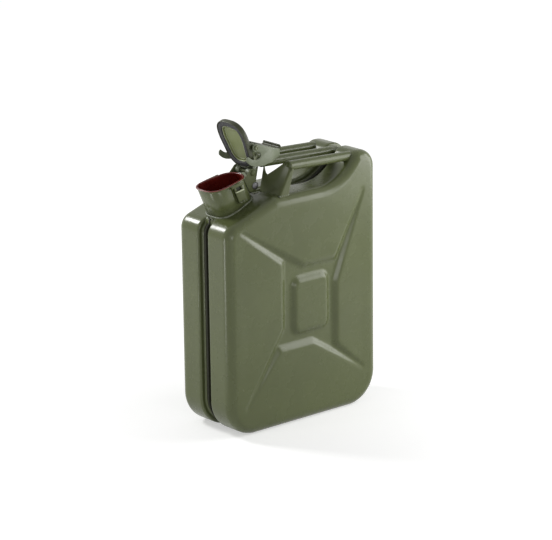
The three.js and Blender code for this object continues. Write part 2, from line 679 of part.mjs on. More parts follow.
// Front bracket of one side: a leaning web with a scallop between two horns, and a flange bent to the rear.
function handleBracket(side) {
  const low = VALLEY_HEIGHT - FACE_EDGE_R;
  const horn = HANDLE_Z - BRACKET_HORN_DROP;
  const gap = BRACKET_GAP / 2;
  const topHalf = BRACKET_HALF_WIDTH - BRACKET_SIDE_SLANT;
  const seatInner = HANDLE_SPACING - HANDLE_R - CLEARANCE;
  const outline = [
    [gap, low],
    [gap, horn],
    [gap + BRACKET_HORN_WIDTH, horn],
    [gap + BRACKET_HORN_WIDTH, VALLEY_HEIGHT + BRACKET_SCALLOP_RISE],
    [seatInner, HANDLE_Z],
    [HANDLE_SPACING, HANDLE_Z],
    [topHalf, horn],
    [BRACKET_HALF_WIDTH, low],
  ];
  const web = new THREE.ExtrudeGeometry(
    polygon(outline.map(([y, z]) => [side * y, z - VALLEY_HEIGHT])),
    { depth: BRACKET_THICKNESS, bevelEnabled: false },
  );
  const upright = new THREE.Matrix4().set(0, 0, 1, 0, 1, 0, 0, 0, 0, 1, 0, 0, 0, 0, 0, 1);
  const lean = new THREE.Matrix4().makeShear(0, 0, 0, 0, BRACKET_SHEAR, 0);
  web.applyMatrix4(upright).applyMatrix4(lean);
  const flangeShape = polygon([
    [0, low - VALLEY_HEIGHT],
    [FLANGE_FOOT_LENGTH, low - VALLEY_HEIGHT],
    [FLANGE_TOP_LENGTH, horn - VALLEY_HEIGHT],
    [0, horn - VALLEY_HEIGHT],
  ]);
  const slant = BRACKET_SIDE_SLANT / (horn - low);
  const footHalf = BRACKET_HALF_WIDTH - (VALLEY_HEIGHT - low) * slant;
  const flange = sweepY(flangeShape, side * (footHalf - BRACKET_THICKNESS), side * footHalf);
  flange.applyMatrix4(new THREE.Matrix4().makeShear(0, 0, 0, 0, BRACKET_SHEAR, -side * slant));
  const joined = solid(web.translate(BRACKET_FOOT_X, 0, VALLEY_HEIGHT))
    .add(solid(flange.translate(BRACKET_FOOT_X, 0, VALLEY_HEIGHT)));
  return joined.subtract(bodyClear).subtract(handleClear(0)).subtract(handleClear(side * HANDLE_SPACING));
}

// Cap shell: a shallow pressed dish over the mouth, open below.
function capShell() {
  const options = {
    depth: CAP_TOP - CAP_EDGE_R + OVERSHOOT,
    bevelThickness: CAP_EDGE_R,
    bevelSize: CAP_EDGE_R,
    bevelOffset: -CAP_EDGE_R,
    bevelSegments: CAP_EDGE_SEGMENTS,
    curveSegments: MOUTH_SEGMENTS,
  };
  const dish = (offset, drop) => {
    const geometry = new THREE.ExtrudeGeometry(mouthShape(offset), options);
    return solid(geometry.translate(0, 0, -OVERSHOOT - drop));
  };
  const outer = dish(CAP_OVERHANG, 0);
  const inner = dish(CAP_OVERHANG - CAP_WALL, CAP_WALL);
  const below = solid(mouthPrism(CAP_OVERHANG + OVERSHOOT, -CAP_TOP - 2 * OVERSHOOT, -SKIRT_DROP));
  return outer.subtract(inner).subtract(below);
}

function capGasket() {
  const outer = solid(mouthPrism(GASKET_OUTSET, CLEARANCE, GASKET_TOP));
  return outer.subtract(solid(mouthPrism(-GASKET_INSET, CLEARANCE - OVERSHOOT, GASKET_TOP + OVERSHOOT)));
}

// Inner plate: a pressed pan whose flange backs the gasket and whose stepped centre reaches into the mouth.
function capInnerPlate() {
  const back = PLATE_BASE + PLATE_THICKNESS;
  const step = (inset, drop) => {
    const outside = solid(mouthPrism(-inset, -drop, back));
    const inside = solid(mouthPrism(-inset - PLATE_THICKNESS, PLATE_THICKNESS - drop, back + OVERSHOOT));
    return { outside, inside };
  };
  const flange = solid(mouthPrism(GASKET_OUTSET, PLATE_BASE, back));
  const first = step(PLATE_STEP_INSET, PLATE_STEP_DROP);
  const second = step(PLATE_CENTRE_INSET, PLATE_CENTRE_DROP);
  return flange.add(first.outside).add(second.outside).subtract(first.inside).subtract(second.inside);
}

// Hinge strap: a plate on the cap that bends down to two knuckles round the pin.
function capHingeStrap() {
  const skirtRear = MOUTH_REAR_R + CAP_OVERHANG - MOUTH_REAR_SETBACK + SKIRT_STRAP_GAP;
  const top = STRAP_BASE + STRAP_THICKNESS;
  const shape = polygon([
    [-STRAP_LENGTH, STRAP_BASE],
    [skirtRear - SKIRT_STRAP_GAP, STRAP_BASE],
    [skirtRear, 0],
    [KNUCKLE_R, 0],
    [KNUCKLE_R - STRAP_THICKNESS / 2, KNUCKLE_R],
    [-STRAP_THICKNESS, top],
    [-STRAP_LENGTH, top],
  ]);
  const half = KNUCKLE_HALF_WIDTH;
  const plate = solid(sweepY(shape, -half, half)).add(solid(rodY(0, 0, KNUCKLE_R, -half, half)));
  const gap = solid(boxGeometry(
    skirtRear - OVERSHOOT, KNUCKLE_R + OVERSHOOT,
    -KNUCKLE_GAP / 2, KNUCKLE_GAP / 2,
    -KNUCKLE_R - OVERSHOOT, KNUCKLE_R,
  ));
  const pinHole = solid(rodY(0, 0, HINGE_PIN_R + CLEARANCE, -half - OVERSHOOT, half + OVERSHOOT));
  return plate.subtract(gap).subtract(pinHole);
}

// Ear on the cap: a plate with a foot, carrying one of the lever's rivets.
function capEar(side) {
  const x = -LEVER_PIVOT_SETBACK;
  const shape = new THREE.Shape();
  shape.moveTo(x - EAR_R, STRAP_BASE);
  shape.lineTo(x + EAR_R, STRAP_BASE);
  shape.absarc(x, LEVER_PIVOT_RISE, EAR_R, 0, Math.PI, false);
  const plate = solid(sweepY(shape, side * EAR_INNER, side * EAR_OUTER));
  const foot = solid(boxGeometry(
    x - EAR_R, x + EAR_R,
    side * (EAR_INNER - EAR_FOOT_WIDTH), side * EAR_OUTER,
    STRAP_BASE, STRAP_BASE + EAR_FOOT_THICKNESS,
  ));
  const hole = solid(rodY(x, LEVER_PIVOT_RISE, LEVER_RIVET_R + CLEARANCE, 0, side * (EAR_OUTER + OVERSHOOT)));
  return plate.add(foot).subtract(hole);
}

// Lever rivet: a shank in the ear, a spacer between ear and lever, and a head outside the lever.
function leverRivet(side) {
  const seat = LEVER_OUTER + CLEARANCE;
  const pairs = [
    [0, EAR_INNER],
    [LEVER_RIVET_R, EAR_INNER],
    [LEVER_RIVET_R, SPACER_INNER],
    [SPACER_R, SPACER_INNER],
    [SPACER_R, SPACER_OUTER],
    [LEVER_RIVET_R, SPACER_OUTER],
    [LEVER_RIVET_R, seat],
    [LEVER_RIVET_HEAD_R, seat],
    [LEVER_RIVET_HEAD_R, seat + RIVET_HEAD_HEIGHT / 2],
    [LEVER_RIVET_HEAD_R / 2, seat + RIVET_HEAD_HEIGHT],
    [0, seat + RIVET_HEAD_HEIGHT],
  ];
  const outward = side > 0 ? pairs : pairs.map(([r, y]) => [r, -y]).reverse();
  return solid(turnedY(outward, -LEVER_PIVOT_SETBACK, LEVER_PIVOT_RISE));
}

// Side plate of the lever up to the fold: boss, heel and hook.
function leverHookShape() {
  const hookOuter = HOOK_INNER_R + HOOK_DEPTH;
  const shape = new THREE.Shape();
  shape.moveTo(0, LEVER_BOSS_R);
  shape.lineTo(LEVER_FOLD, -LEVER_FOLD_DROP);
  shape.lineTo(LEVER_FOLD, FOLD_LOW_EDGE);
  shape.lineTo(LEVER_HEEL, -LEVER_HEEL_DROP);
  const bottom = polar(hookOuter, HOOK_BOTTOM_ANGLE);
  shape.quadraticCurveTo(LEVER_HEEL / 2, -hookOuter - HEEL_BULGE, ...bottom);
  const flank = polar(HOOK_INNER_R + HOOK_FLANK_DEPTH, HOOK_FLANK_ANGLE);
  const bulge = polar(HOOK_INNER_R + HOOK_BULGE_DEPTH, HOOK_BULGE_ANGLE);
  shape.quadraticCurveTo(...bulge, ...flank);
  shape.lineTo(...polar(HOOK_INNER_R + HOOK_TIP_DEPTH, HOOK_TIP_ANGLE));
  const root = rad(HOOK_ROOT_ANGLE);
  shape.absarc(0, 0, HOOK_INNER_R, rad(HOOK_TIP_ANGLE + HOOK_TIP_BEVEL), root, false);
  shape.quadraticCurveTo(THROAT_DEPTH, -THROAT_DEPTH, LEVER_BOSS_R, -THROAT_DROP);
  shape.lineTo(...polar(LEVER_BOSS_R, HOOK_ROOT_ANGLE));
  shape.absarc(0, 0, LEVER_BOSS_R, root, Math.PI / 2, true);
  return shape;
}

// Lever: two hooked side plates that draw in behind the fold, joined by a top web with a finger lip.
function closureLever() {
  const inward = LEVER_TAPER / (LEVER_REACH - LEVER_FOLD);
  const fall = (LEVER_END_DROP - LEVER_FOLD_DROP) / (LEVER_REACH - LEVER_FOLD);
  const overlap = WEB_THICKNESS / 2;
  const tail = polygon([
    [-overlap, -LEVER_FOLD_DROP],
    [-overlap, FOLD_LOW_EDGE],
    [LEVER_REACH - LEVER_FOLD, -LEVER_END_DROP - LEVER_END_HEIGHT],
    [LEVER_REACH - LEVER_FOLD, -LEVER_END_DROP],
  ]);
  const web = polygon([
    [-overlap, -LEVER_INNER - overlap],
    [LEVER_REACH - LEVER_FOLD, -LEVER_INNER - overlap + LEVER_TAPER],
    [LEVER_REACH - LEVER_FOLD + LIP_REACH, -LEVER_INNER - overlap + LEVER_TAPER],
    [LEVER_REACH - LEVER_FOLD + LIP_REACH, LEVER_INNER + overlap - LEVER_TAPER],
    [LEVER_REACH - LEVER_FOLD, LEVER_INNER + overlap - LEVER_TAPER],
    [-overlap, LEVER_INNER + overlap],
  ]);
  const webGeometry = new THREE.ExtrudeGeometry(web, { depth: WEB_THICKNESS, bevelEnabled: false });
  webGeometry.translate(0, 0, -WEB_THICKNESS);
  webGeometry.applyMatrix4(new THREE.Matrix4().makeShear(0, -fall, 0, 0, 0, 0));
  webGeometry.translate(LEVER_FOLD, 0, -LEVER_FOLD_DROP);
  let lever = solid(webGeometry);
  const lipX = LEVER_REACH + LIP_REACH;
  const lipZ = -LEVER_FOLD_DROP - fall * (lipX - LEVER_FOLD);
  const lip = polygon([
    [lipX - 2 * WEB_THICKNESS, lipZ - WEB_THICKNESS / 2],
    [lipX, lipZ - WEB_THICKNESS],
    [lipX + WEB_THICKNESS, lipZ],
    [lipX - WEB_THICKNESS, lipZ + LIP_RISE],
    [lipX - 2 * WEB_THICKNESS, lipZ + LIP_RISE - WEB_THICKNESS / 2],
    [lipX - WEB_THICKNESS, lipZ + WEB_THICKNESS / 2],
  ]);
  const lipHalf = LEVER_INNER - LEVER_TAPER + overlap;
  lever = lever.add(solid(sweepY(lip, -lipHalf, lipHalf)));
  for (const side of Object.values(SIDES)) {
    const plate = solid(sweepY(leverHookShape(), side * LEVER_INNER, side * LEVER_OUTER));
    const tailPlate = sweepY(tail, side * LEVER_INNER, side * LEVER_OUTER);
    tailPlate.applyMatrix4(new THREE.Matrix4().makeShear(-side * inward, 0, 0, 0, 0, 0));
    lever = lever.add(plate).add(solid(tailPlate.translate(LEVER_FOLD, 0, 0)));
    const past = side * (LEVER_OUTER + OVERSHOOT);
    lever = lever.subtract(solid(rodY(0, 0, LEVER_RIVET_R + CLEARANCE, side * EAR_INNER, past)));
  }
  return lever;
}

// The can stands still; the cap turns on the hinge axis and carries the lever.
const can = new THREE.Group();
const shells = bodyPieces();
can.add(part('near_shell', shells.near, OLIVE));
can.add(part('far_shell', shells.far, OLIVE));
can.add(part('seam_weld', shells.seam, OLIVE));
can.add(part('spout_neck', spoutNeck(), OLIVE));
can.add(part('spout_collar', spoutCollar(), OLIVE));
can.add(part('vent_tube', ventTube(), ZINC));
can.add(part('hinge_pin', crossPin(0, HINGE_PIN_R, HINGE_PIN_R + RIVET_HEAD_HEIGHT), ZINC));
can.add(part('hinge_rivet', crossPin(-HINGE_ARM_DROP, HINGE_RIVET_R, HINGE_RIVET_HEAD_R), ZINC));
can.add(part('centre_handle', handle(0), OLIVE));

const cap = new THREE.Group();
cap.position.set(HINGE_X, 0, HINGE_Z);
cap.rotation.y = rad(OPEN_ANGLE - MOUTH_TILT);
cap.add(part('cap_shell', capShell(), OLIVE));
cap.add(part('cap_gasket', capGasket(), RUBBER));
cap.add(part('cap_inner_plate', capInnerPlate(), PLATE_GREEN));
cap.add(part('cap_hinge_strap', capHingeStrap(), SAGE));

for (const [name, side] of Object.entries(SIDES)) {
  can.add(part(`${name}_handle`, handle(side * HANDLE_SPACING), OLIVE));
  can.add(part(`${name}_handle_bracket`, handleBracket(side), OLIVE));
  can.add(part(`${name}_hinge_arm`, hingeArm(side), ZINC));
  can.add(part(`${name}_catch_lug`, catchLug(side), OLIVE));
  cap.add(part(`${name}_cap_ear`, capEar(side), SAGE));
  cap.add(part(`${name}_lever_rivet`, leverRivet(side), ZINC));
}

const lever = new THREE.Group();
lever.position.set(-LEVER_PIVOT_SETBACK, 0, LEVER_PIVOT_RISE);
lever.rotation.y = -rad(LEVER_LIFT);
lever.add(part('closure_lever', closureLever(), SAGE));
cap.add(lever);
can.add(cap);

export default can;
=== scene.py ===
from math import acos, asin, atan2, cos, pi, radians, sin, sqrt, tan

import bmesh
import bpy
import numpy as np
from mathutils import Matrix, Vector

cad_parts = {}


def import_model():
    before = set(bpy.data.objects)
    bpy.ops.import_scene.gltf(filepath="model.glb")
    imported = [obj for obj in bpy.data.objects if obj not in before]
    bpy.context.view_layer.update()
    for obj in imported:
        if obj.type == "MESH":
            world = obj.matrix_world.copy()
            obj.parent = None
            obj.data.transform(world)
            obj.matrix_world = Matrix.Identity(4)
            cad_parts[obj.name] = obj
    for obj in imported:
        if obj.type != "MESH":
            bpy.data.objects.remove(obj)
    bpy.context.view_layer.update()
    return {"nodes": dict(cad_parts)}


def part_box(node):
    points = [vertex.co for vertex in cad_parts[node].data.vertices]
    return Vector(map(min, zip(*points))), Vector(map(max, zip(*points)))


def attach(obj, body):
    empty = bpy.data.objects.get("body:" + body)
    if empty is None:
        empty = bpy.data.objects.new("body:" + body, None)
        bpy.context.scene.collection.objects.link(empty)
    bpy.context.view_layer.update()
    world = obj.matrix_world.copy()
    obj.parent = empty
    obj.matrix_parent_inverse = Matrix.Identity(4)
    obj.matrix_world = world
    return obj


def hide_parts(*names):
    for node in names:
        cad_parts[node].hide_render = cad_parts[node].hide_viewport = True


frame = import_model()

MM = 0.001
MERGE_DISTANCE = 1e-6
TINY = 1e-6
SIDES = [("near", -1), ("far", 1)]

# Body of the can; a corner of its side profile has x, z and a radius
BODY_LENGTH = 342
BODY_WIDTH = 140
BODY_HEIGHT = 470
VALLEY_HEIGHT = 419
SHOULDER_HEIGHT = 380
FRONT_X = -BODY_LENGTH / 2
REAR_X = BODY_LENGTH / 2
HUMP_FRONT_X = 127
VALLEY_REAR_X = 88
VALLEY_FRONT_X = -60
PROFILE_CORNERS = [
    (FRONT_X, 0, 60),
    (REAR_X, 0, 60),
    (REAR_X, BODY_HEIGHT, 31),
    (HUMP_FRONT_X, BODY_HEIGHT, 18),
    (VALLEY_REAR_X, VALLEY_HEIGHT, 92),
    (VALLEY_FRONT_X, VALLEY_HEIGHT, 40),
    (FRONT_X, SHOULDER_HEIGHT, 27),
]
PROFILE_STEP = 3
LEAST_ARC_STEPS = 8
LEAST_LINE_STEPS = 2
FACE_EDGE_R = 16.5
WALL_EDGE_Y = BODY_WIDTH / 2 - FACE_EDGE_R
SHEET = 1

# Seam groove and its weld
GROOVE_HALF = 12.3
GROOVE_DEPTH = 10
GROOVE_FLOOR_R = 3.5
GROOVE_LIP_R = 4.5
GROOVE_FLOOR_ROWS = (1.8, 4.5, 7)
# From this share of the pad blend on, the groove floor gets painted shade
SHADE_FROM_SHARE = 0.7
SEAM_HALF = 2
SEAM_TOP = 5
SEAM_SINK = 0.5
SEAM_PROUD = 0.9
SEAM_RIPPLE = 0.25
SEAM_RIPPLE_TURN = 1.9

# Cross pressing in the wide faces
PRESS_CENTRE = (14, 215)
PRESS_DEPTH = 7
PRESS_SLOPE = 11
PRESS_SPREAD = 4
PRESS_BLUR = 2.4
PRESS_BLUR_REACH = 9
PRESS_CORNERS = [
    (-141, 373), (-47, 300), (-47, 180), (-133, 50), (-56, 143), (21, 143),
    (136, 71), (75, 127), (75, 243), (138, 399), (74, 287), (2, 287),
]
BOSS_CENTRE = (17, 214)
BOSS_HALF = (44, 54)
BOSS_CORNER_R = 18
BOSS_SLOPE = 9
FIELD_HALF = 175
FIELD_MARGIN = 0.001
FACE_ROWS = 124
WAVE_HEIGHT = 0.16
WAVE_X = (37, 71, 90)
WAVE_Z = (51, 43, 29)
WAVE_PHASE = 1.3
WAVE_FADE = 6

# Spout, drawn in its own frame: x along the mouth to the rear, z out of the mouth, origin on the
# hinge axis; an end of the mouth has x and a radius, and the steps are front, rear and side ones
HINGE = (-75.4, 458.5)
MOUTH_TILT = radians(10.8)
MOUTH_FRONT = (-65.2, 32.2)
MOUTH_REAR = (-39.4, 28.5)
MOUTH_STEPS = (66, 49, 15)
MOUTH_SQUARENESS = (2.8, 2.3)
RIM_LIP = 1.8
RIM_ROLL = 1.75
RIM_DEPTH = 5.0
NECK_SHEAR = tan(radians(12.45))
NECK_INSET = 3.3
NECK_BORE = -NECK_INSET + SHEET
BORE_STEP = 0.01
NECK_SINK = 3
NECK_SEARCH = (-10.0, -84.0, -1.0)
NECK_ZONE_LOW = SHOULDER_HEIGHT - 60
NECK_ZONE_DEPTH = 100
PAD_MARGIN = 5
PAD_BLEND = 9
LINING_GAP = 0.2
LINING_FILM = 0.15
LINING_DEPTH = 6.0
COLLAR_R = 2.1
COLLAR_OUT = 0.7
COLLAR_SINK = 0.2
COLLAR_LIFT = 0.4
COLLAR_RIPPLES = [(0.22, 1.7), (0.15, 0.43)]

# Weld spots
WELD_R = 2.4
SPOT_PROFILE = [(0.0, -0.6), (0.75, -0.4), (1.0, 0.0), (0.7, 0.5), (0.0, 0.72)]
SPOT_WOBBLE = 0.18
SPOT_WOBBLE_TURN = 3.1
SPOT_SPREAD = 0.2
SPOT_SPREAD_TURN = 2.3
NECK_WELDS = [(-154, -5, 389), (-156.5, 0, 388), (-154, 5, 389)]

# Handles
HANDLE_R = 8.5
HANDLE_Z = 460
HANDLE_RISE = 6
HANDLE_SPACING = 48
HANDLE_NOSE = 3.2
HANDLE_NOSE_END = 5
HANDLE_SINK = 8
CENTRE_HANDLE_FRONT = -42
OUTER_HANDLE_FRONT = -18

# Handle brackets; the web's rows are distances from the middle plane
BRACKET_FOOT_X = -48
BRACKET_SINK = 2
BRACKET_LEAN = tan(radians(34))
HORN_LEAN = 0.22
BRACKET_LEAN_SPAN = 34
BRACKET_SHEET = 2
BRACKET_EDGE = 0.5
BRACKET_INNER_Y = 8
BRACKET_OUTER_Y = 62
BRACKET_FOLD_R = 4
BRACKET_WEB_ROWS = (
    BRACKET_INNER_Y, 9, 10, 11, 12, 13, 14.5, 16, 18, 20, 22.5, 26, 30, 35, 39.2, 44, 48, 53,
)
BRACKET_STEPS = 14
TURN_IN = 5 / 40
TURN_IN_Y = 40
TURN_IN_SPAN = 22
SCALLOP_Y = 18
SCALLOP_Z = 449
SCALLOP_CURVE = 1.2
HORN_RISE = 17
HORN_WIDTH = SCALLOP_Y - BRACKET_INNER_Y
HORN_CURVE = 1.7
SEAT_Y = 39.2
SEAT_END_Y = 46
SEAT_Z = HANDLE_Z + HANDLE_RISE + 6
SEAT_FALL = 0.6
FLANGE_ROWS = (7, 11, 15, 19, 22)
FLANGE_TOP = HANDLE_Z + 3
FLANGE_FALL = 0.1
FLANGE_NARROWING = 0.6
FOOT_WELD_X = (1, 5.5, 10, 14.5, 19, 22.5)
FOOT_WELD_Y = 61
FOOT_WELD_STEP = 0.2
FOOT_WELD_SINK = 0.6

# Hinge behind the neck, in the spout's frame; a pin has the radii of its shank and its head
PIN_R = (3, 5)
RIVET_R = (2.5, 6.5)
RIVET_Z = -24
PIN_SEAT = 23.3
PIN_HEAD = [(0, 2.2), (0.5, 2.0), (0.85, 1.3), (1, 0.3), (1, 0)]
LINK_R = 8
LINK_Y = 20
LINK_SHEET = 3
LINK_EDGE = 0.6
LINK_FRONT = [(-16, -3), (-17.5, -8), (-12.5, -31)]
LINK_WAIST = [(3.2, -17.5), (1, -14), (1, -10.5), (3.2, -7.5), (7, -4)]
LINK_LEAN = 1.35
LINK_LEAN_X = -10
LINK_LEAN_SPAN = 10

# Catch lugs, in the spout's frame: a bar has its left, right, upper and lower edges, and a layer its
# distance from the middle plane, thickness and edge radius
LUG_MIDDLE = -46.4
LUG_TOP = -1.6
LUG_LINTEL = LUG_TOP - 5
LUG_SILL = LUG_TOP - 12
LUG_LOW = -37.6
LUG_HALF = 9
LUG_WIDE = LUG_HALF + 4
LUG_WINDOW = LUG_HALF - 3.5
LUG_STRAP = (32.5, 3, 0.7)
LUG_STRAP_BARS = [
    (-LUG_WIDE, LUG_WIDE, LUG_TOP, LUG_LINTEL),
    (-LUG_HALF, -LUG_WINDOW, LUG_LINTEL, LUG_SILL),
    (LUG_WINDOW, LUG_HALF, LUG_LINTEL, LUG_SILL),
    (-LUG_HALF, LUG_HALF, LUG_SILL, LUG_LOW),
]
LUG_BRIDGE = (28.5, 6, 0.6)
LUG_BRIDGE_BARS = [(-8.4, 8.4, LUG_TOP - 0.5, LUG_TOP - 4), (-8.4, 8.4, LUG_LOW + 9, LUG_LOW + 0.5)]
LUG_LIP = (34.2, 3, 0.9)
LUG_LIP_BAR = (-LUG_HALF, LUG_HALF, LUG_SILL, LUG_SILL - 2.2)
# A thin plate behind the window, coloured as painted shade
LUG_SHADE = (31.6, 1.2, 0.2)
LUG_SHADE_BAR = (-5.8, 5.8, LUG_LINTEL + 0.6, LUG_SILL - 0.6)
LUG_WELD_R = 2.0
LUG_WELD_X = (-6, 0, 6)
LUG_WELD_Y = 36.1
LUG_WELD_Z = LUG_LOW + 2.5

# Vent pipe: x and z along its route in the middle plane
VENT_R = 4
VENT_END = 3
VENT_ROUTE = [
    (-87, 436), (-84, 422), (-78, 408), (-60, 396), (-30, 392), (0, 391.6),
    (35, 391.6), (66, 393), (84, 402), (100, 416), (116, 430),
]

# Cap: sections are pairs of an offset from the mouth's outline and a height in the cap's frame
CAP_TURN = radians(-67.2)
CAP_MIDDLE = -20
CAP_SKIRT_OUT = 3.6
CAP_SKIRT_IN = 2.2
CAP_BEND_Z = 6
CAP_BEND_R = 4
CAP_INNER_BEND_R = 2.6
CAP_CEILING = [(CAP_MIDDLE, 8.6), (-8, 8.6)]
CAP_HEM = [
    (CAP_SKIRT_IN, 0.2), (2.4, -0.4), (2.9, -0.6), (3.4, -0.4), (CAP_SKIRT_OUT, 0.2), (CAP_SKIRT_OUT, 3),
]
CAP_CROWN = [(-3, 10), (-8.2, 10), (-9.5, 9.5), (CAP_MIDDLE, 9.5)]
SEAL_SECTION = [
    (-7, 1.0), (-6.4, 0.4), (-5.5, 0.3), (0.8, 0.3), (1.6, 0.6),
    (1.9, 1.2), (1.9, 3.2), (1.3, 3.8), (-6.4, 3.8), (-7, 3.2),
]
PAN_SECTION = [
    (1.9, 5.6), (1.9, 4.1), (-7.2, 4.0), (-7.5, 2.6), (-8.0, 2.3), (-8.5, 2.7),
    (-8.8, 5.6), (-9.2, 6.6), (-9.8, 6.9), (-10.8, 6.9), (-11.4, 6.5), (-11.8, 5.2),
    (-12.3, 4.6), (-13, 4.4), (-15, 4.4), (CAP_MIDDLE, 4.3),
]
BEAD_SECTIONS = [
    [(-7.4, 2.4), (-7.7, 1.9), (-8.3, 1.9), (-8.6, 2.4), (-8.3, 3.0), (-7.7, 3.0)],
    [(-11.8, 4.6), (-12.1, 4.1), (-12.7, 4.0), (-13.0, 4.4), (-12.7, 4.9), (-12.1, 5.1)],
]
FLAT_ANGLE = radians(2)

# Lever and its rivets, in radius and depth pairs; heads are measured from their seat
LEVER_PIVOT = (-80.106, 506.855)
LEVER_INNER = 36.5
LEVER_PLATE = 2.5
LEVER_EDGE = 0.6
LEVER_LAP = 0.6
LEVER_BOSS_R = 6.8
LEVER_FOLD = 36
LEVER_FOLD_DROP = 5
LEVER_REACH = 65
LEVER_END_DROP = 14.5
LEVER_END_HEIGHT = 12.5
LEVER_TAPER = 14
HEEL_X = 23
HEEL_DROP = 33
HOOK_INNER = 21.3
HOOK_OUTER = 33.1
WEB_END = 63
WEB_LAP = 1
WEB_SHEET = 2
FINGER_LIP = [(1.8, 0.0), (3.2, 0.9), (3.7, 2.3), (3.2, 3.8), (2.2, 4.8)]
LIP_NARROWING = (0.6, 2.4)
STUD_AT = (-46.4, 14.4)
STUD_SEAT = 39.3
STUD_SHANK = [(0, 26), (2.2, 26), (2.2, 29), (3.9, 29), (3.9, 36.2), (2.2, 36.2)]
STUD_HEAD = [(2.2, 0), (4.5, 0), (4.4, 0.7), (3.6, 1.4), (2.2, 1.8), (1.5, 1.5), (0, 1.4)]

# Floor and lamps, in metres; a lamp has its place, aim, width, height and radiance
WHITE = (1, 1, 1, 1)
FLOOR_HALF = 14.0
FLOOR_GREY = 0.72
FLOOR_CLOUD = 0.02
FLOOR_ROUGHNESS = 0.9
FLOOR_GLOW = (0.46, 0.83)
FLOOR_GLOW_SPAN = (0.3, 1.3)
AMBIENT = 0.24
LAMPS = {
    "front_key": ((0.72, -0.52, 0.52), (0.1, 0, 0.26), 0.7, 0.7, 4.7),
    "low_front": ((-0.45, -1.6, 0.42), (0, 0, 0.25), 0.5, 0.3, 6.0),
    "rear_key": ((-0.75, 1.25, 1.3), (0, 0, 0.3), 0.42, 0.42, 34.0),
    "left_strip": ((-0.8, 0.09, 0.17), (-0.1, 0, 0.3), 0.03, 0.34, 29.0),
    "camera_fill": ((-1.35, -1.9, 1.0), (0, 0, 0.25), 0.7, 0.7, 1.2),
}

# Camera at the photograph's viewing angle
AZIMUTH = radians(-39.91)
ELEVATION = radians(16.46)
ROLL = radians(-0.75)
DISTANCE = 4805.6
TARGET = (-6.58, 0.0, 264.81)
FOCAL_PIXELS = 2711.8
IMAGE_WIDTH = 552
SENSOR_WIDTH = 36
CLIP_END = 100


# Node materials

NOISE_ROUGHNESS = 0.55
NOISE_SPAN = (0.3, 0.7)


def feed(socket, value):
    """Links a socket to another one or sets its value."""
    if isinstance(value, bpy.types.NodeSocket):
        socket.id_data.links.new(value, socket)
    else:
        socket.default_value = value


def connect(node, **inputs):
    """Feeds a node's inputs; an underscore stands for a space in a socket's name."""
    for key, value in inputs.items():
        feed(node.inputs[key.replace("_", " ")], value)


def add_node(tree, kind, settings=None, **inputs):
    node = tree.nodes.new("ShaderNode" + kind)
    for key, value in (settings or {}).items():
        setattr(node, key, value)
    connect(node, **inputs)
    return node


def noise(place, scale, detail=3.0):
    node = add_node(place.id_data, "TexNoise", Vector=place, Scale=scale, Detail=detail,
                    Roughness=NOISE_ROUGHNESS)
    return node.outputs["Fac"]


def ranged(value, low, high, to_low, to_high):
    node = add_node(value.id_data, "MapRange", {"clamp": True}, Value=value, From_Min=low, From_Max=high,
                    To_Min=to_low, To_Max=to_high)
    return node.outputs["Result"]


def mixed(factor, first, second):
    """Two colours mixed; the node's colour sockets are inputs 6 and 7 and output 2."""
    node = add_node(factor.id_data, "Mix", {"data_type": "RGBA"})
    for index, value in ((0, factor), (6, first), (7, second)):
        feed(node.inputs[index], value)
    return node.outputs[2]


def combined(operation, first, second):
    """Two values put together by a math node."""
    node = add_node(first.id_data, "Math", {"operation": operation})
    feed(node.inputs[0], first)
    feed(node.inputs[1], second)
    return node.outputs[0]


def shade(colour, factor):
    return tuple(channel * factor for channel in colour[:3]) + (1.0,)


def new_material(name):
    """A material with its shader and the place of a point on the object."""
    material = bpy.data.materials.new(name)
    material.use_nodes = True
    tree = material.node_tree
    return material, tree.nodes["Principled BSDF"], add_node(tree, "TexCoord").outputs["Object"]


def finish_surface(shader, tone, roughness, height, strength, distance):
    """Colour, roughness and fine bumps of a surface."""
    bump = add_node(shader.id_data, "Bump", Height=height, Strength=strength, Distance=distance)
    connect(shader, Base_Color=tone, Roughness=roughness, Normal=bump.outputs["Normal"])


def enamel(name, colour, worn, gloss=0.36, edge_wear_and_highlight=0.4, sheen_level=0.3):
    """Satin enamel: cloudy tone, small specks, paler edges that are partly rubbed wear and partly a
    painted highlight, and a slight orange peel.
    """
    material, shader, place = new_material(name)
    connect(shader, Specular_IOR_Level=sheen_level)
    cloud = ranged(noise(place, scale=8.0, detail=4.0), *NOISE_SPAN, 0.0, 1.0)
    tone = mixed(cloud, shade(colour, 0.93), shade(colour, 1.07))
    speck = ranged(noise(place, scale=190.0, detail=2.0), 0.7, 0.8, 0.0, 0.15)
    tone = mixed(speck, tone, shade(worn, 1.0))
    # Convex edges are lightened: rubbed wear, and a painted highlight along them
    if edge_wear_and_highlight:
        edge = add_node(material.node_tree, "NewGeometry").outputs["Pointiness"]
        edge = ranged(edge, 0.515, 0.6, 0.0, 1.0)
        rub_and_highlight = ranged(noise(place, scale=55.0, detail=5.0), 0.35, 0.7, 0.0, edge_wear_and_highlight)
        tone = mixed(combined("MULTIPLY", edge, rub_and_highlight), tone, shade(worn, 1.0))
    sheen = ranged(noise(place, scale=26.0, detail=5.0), 0.25, 0.75, gloss - 0.05, gloss + 0.08)
    peel = noise(place, scale=420.0, detail=2.0)
    finish_surface(shader, tone, sheen, peel, strength=0.05, distance=0.0006)
    return material


def coating(name, colour, shades, cloud, cloud_span, dull_scale, dull, grain_scale, strength, distance):
    """A coat of uneven tone: dusty rubber or lining lacquer."""
    material, shader, place = new_material(name)
    share = ranged(noise(place, *cloud), *cloud_span, 0.0, 1.0)
    tone = mixed(share, shade(colour, shades[0]), shade(colour, shades[1]))
    roughness = ranged(noise(place, dull_scale), *NOISE_SPAN, *dull)
    finish_surface(shader, tone, roughness, noise(place, grain_scale), strength, distance)
    return material


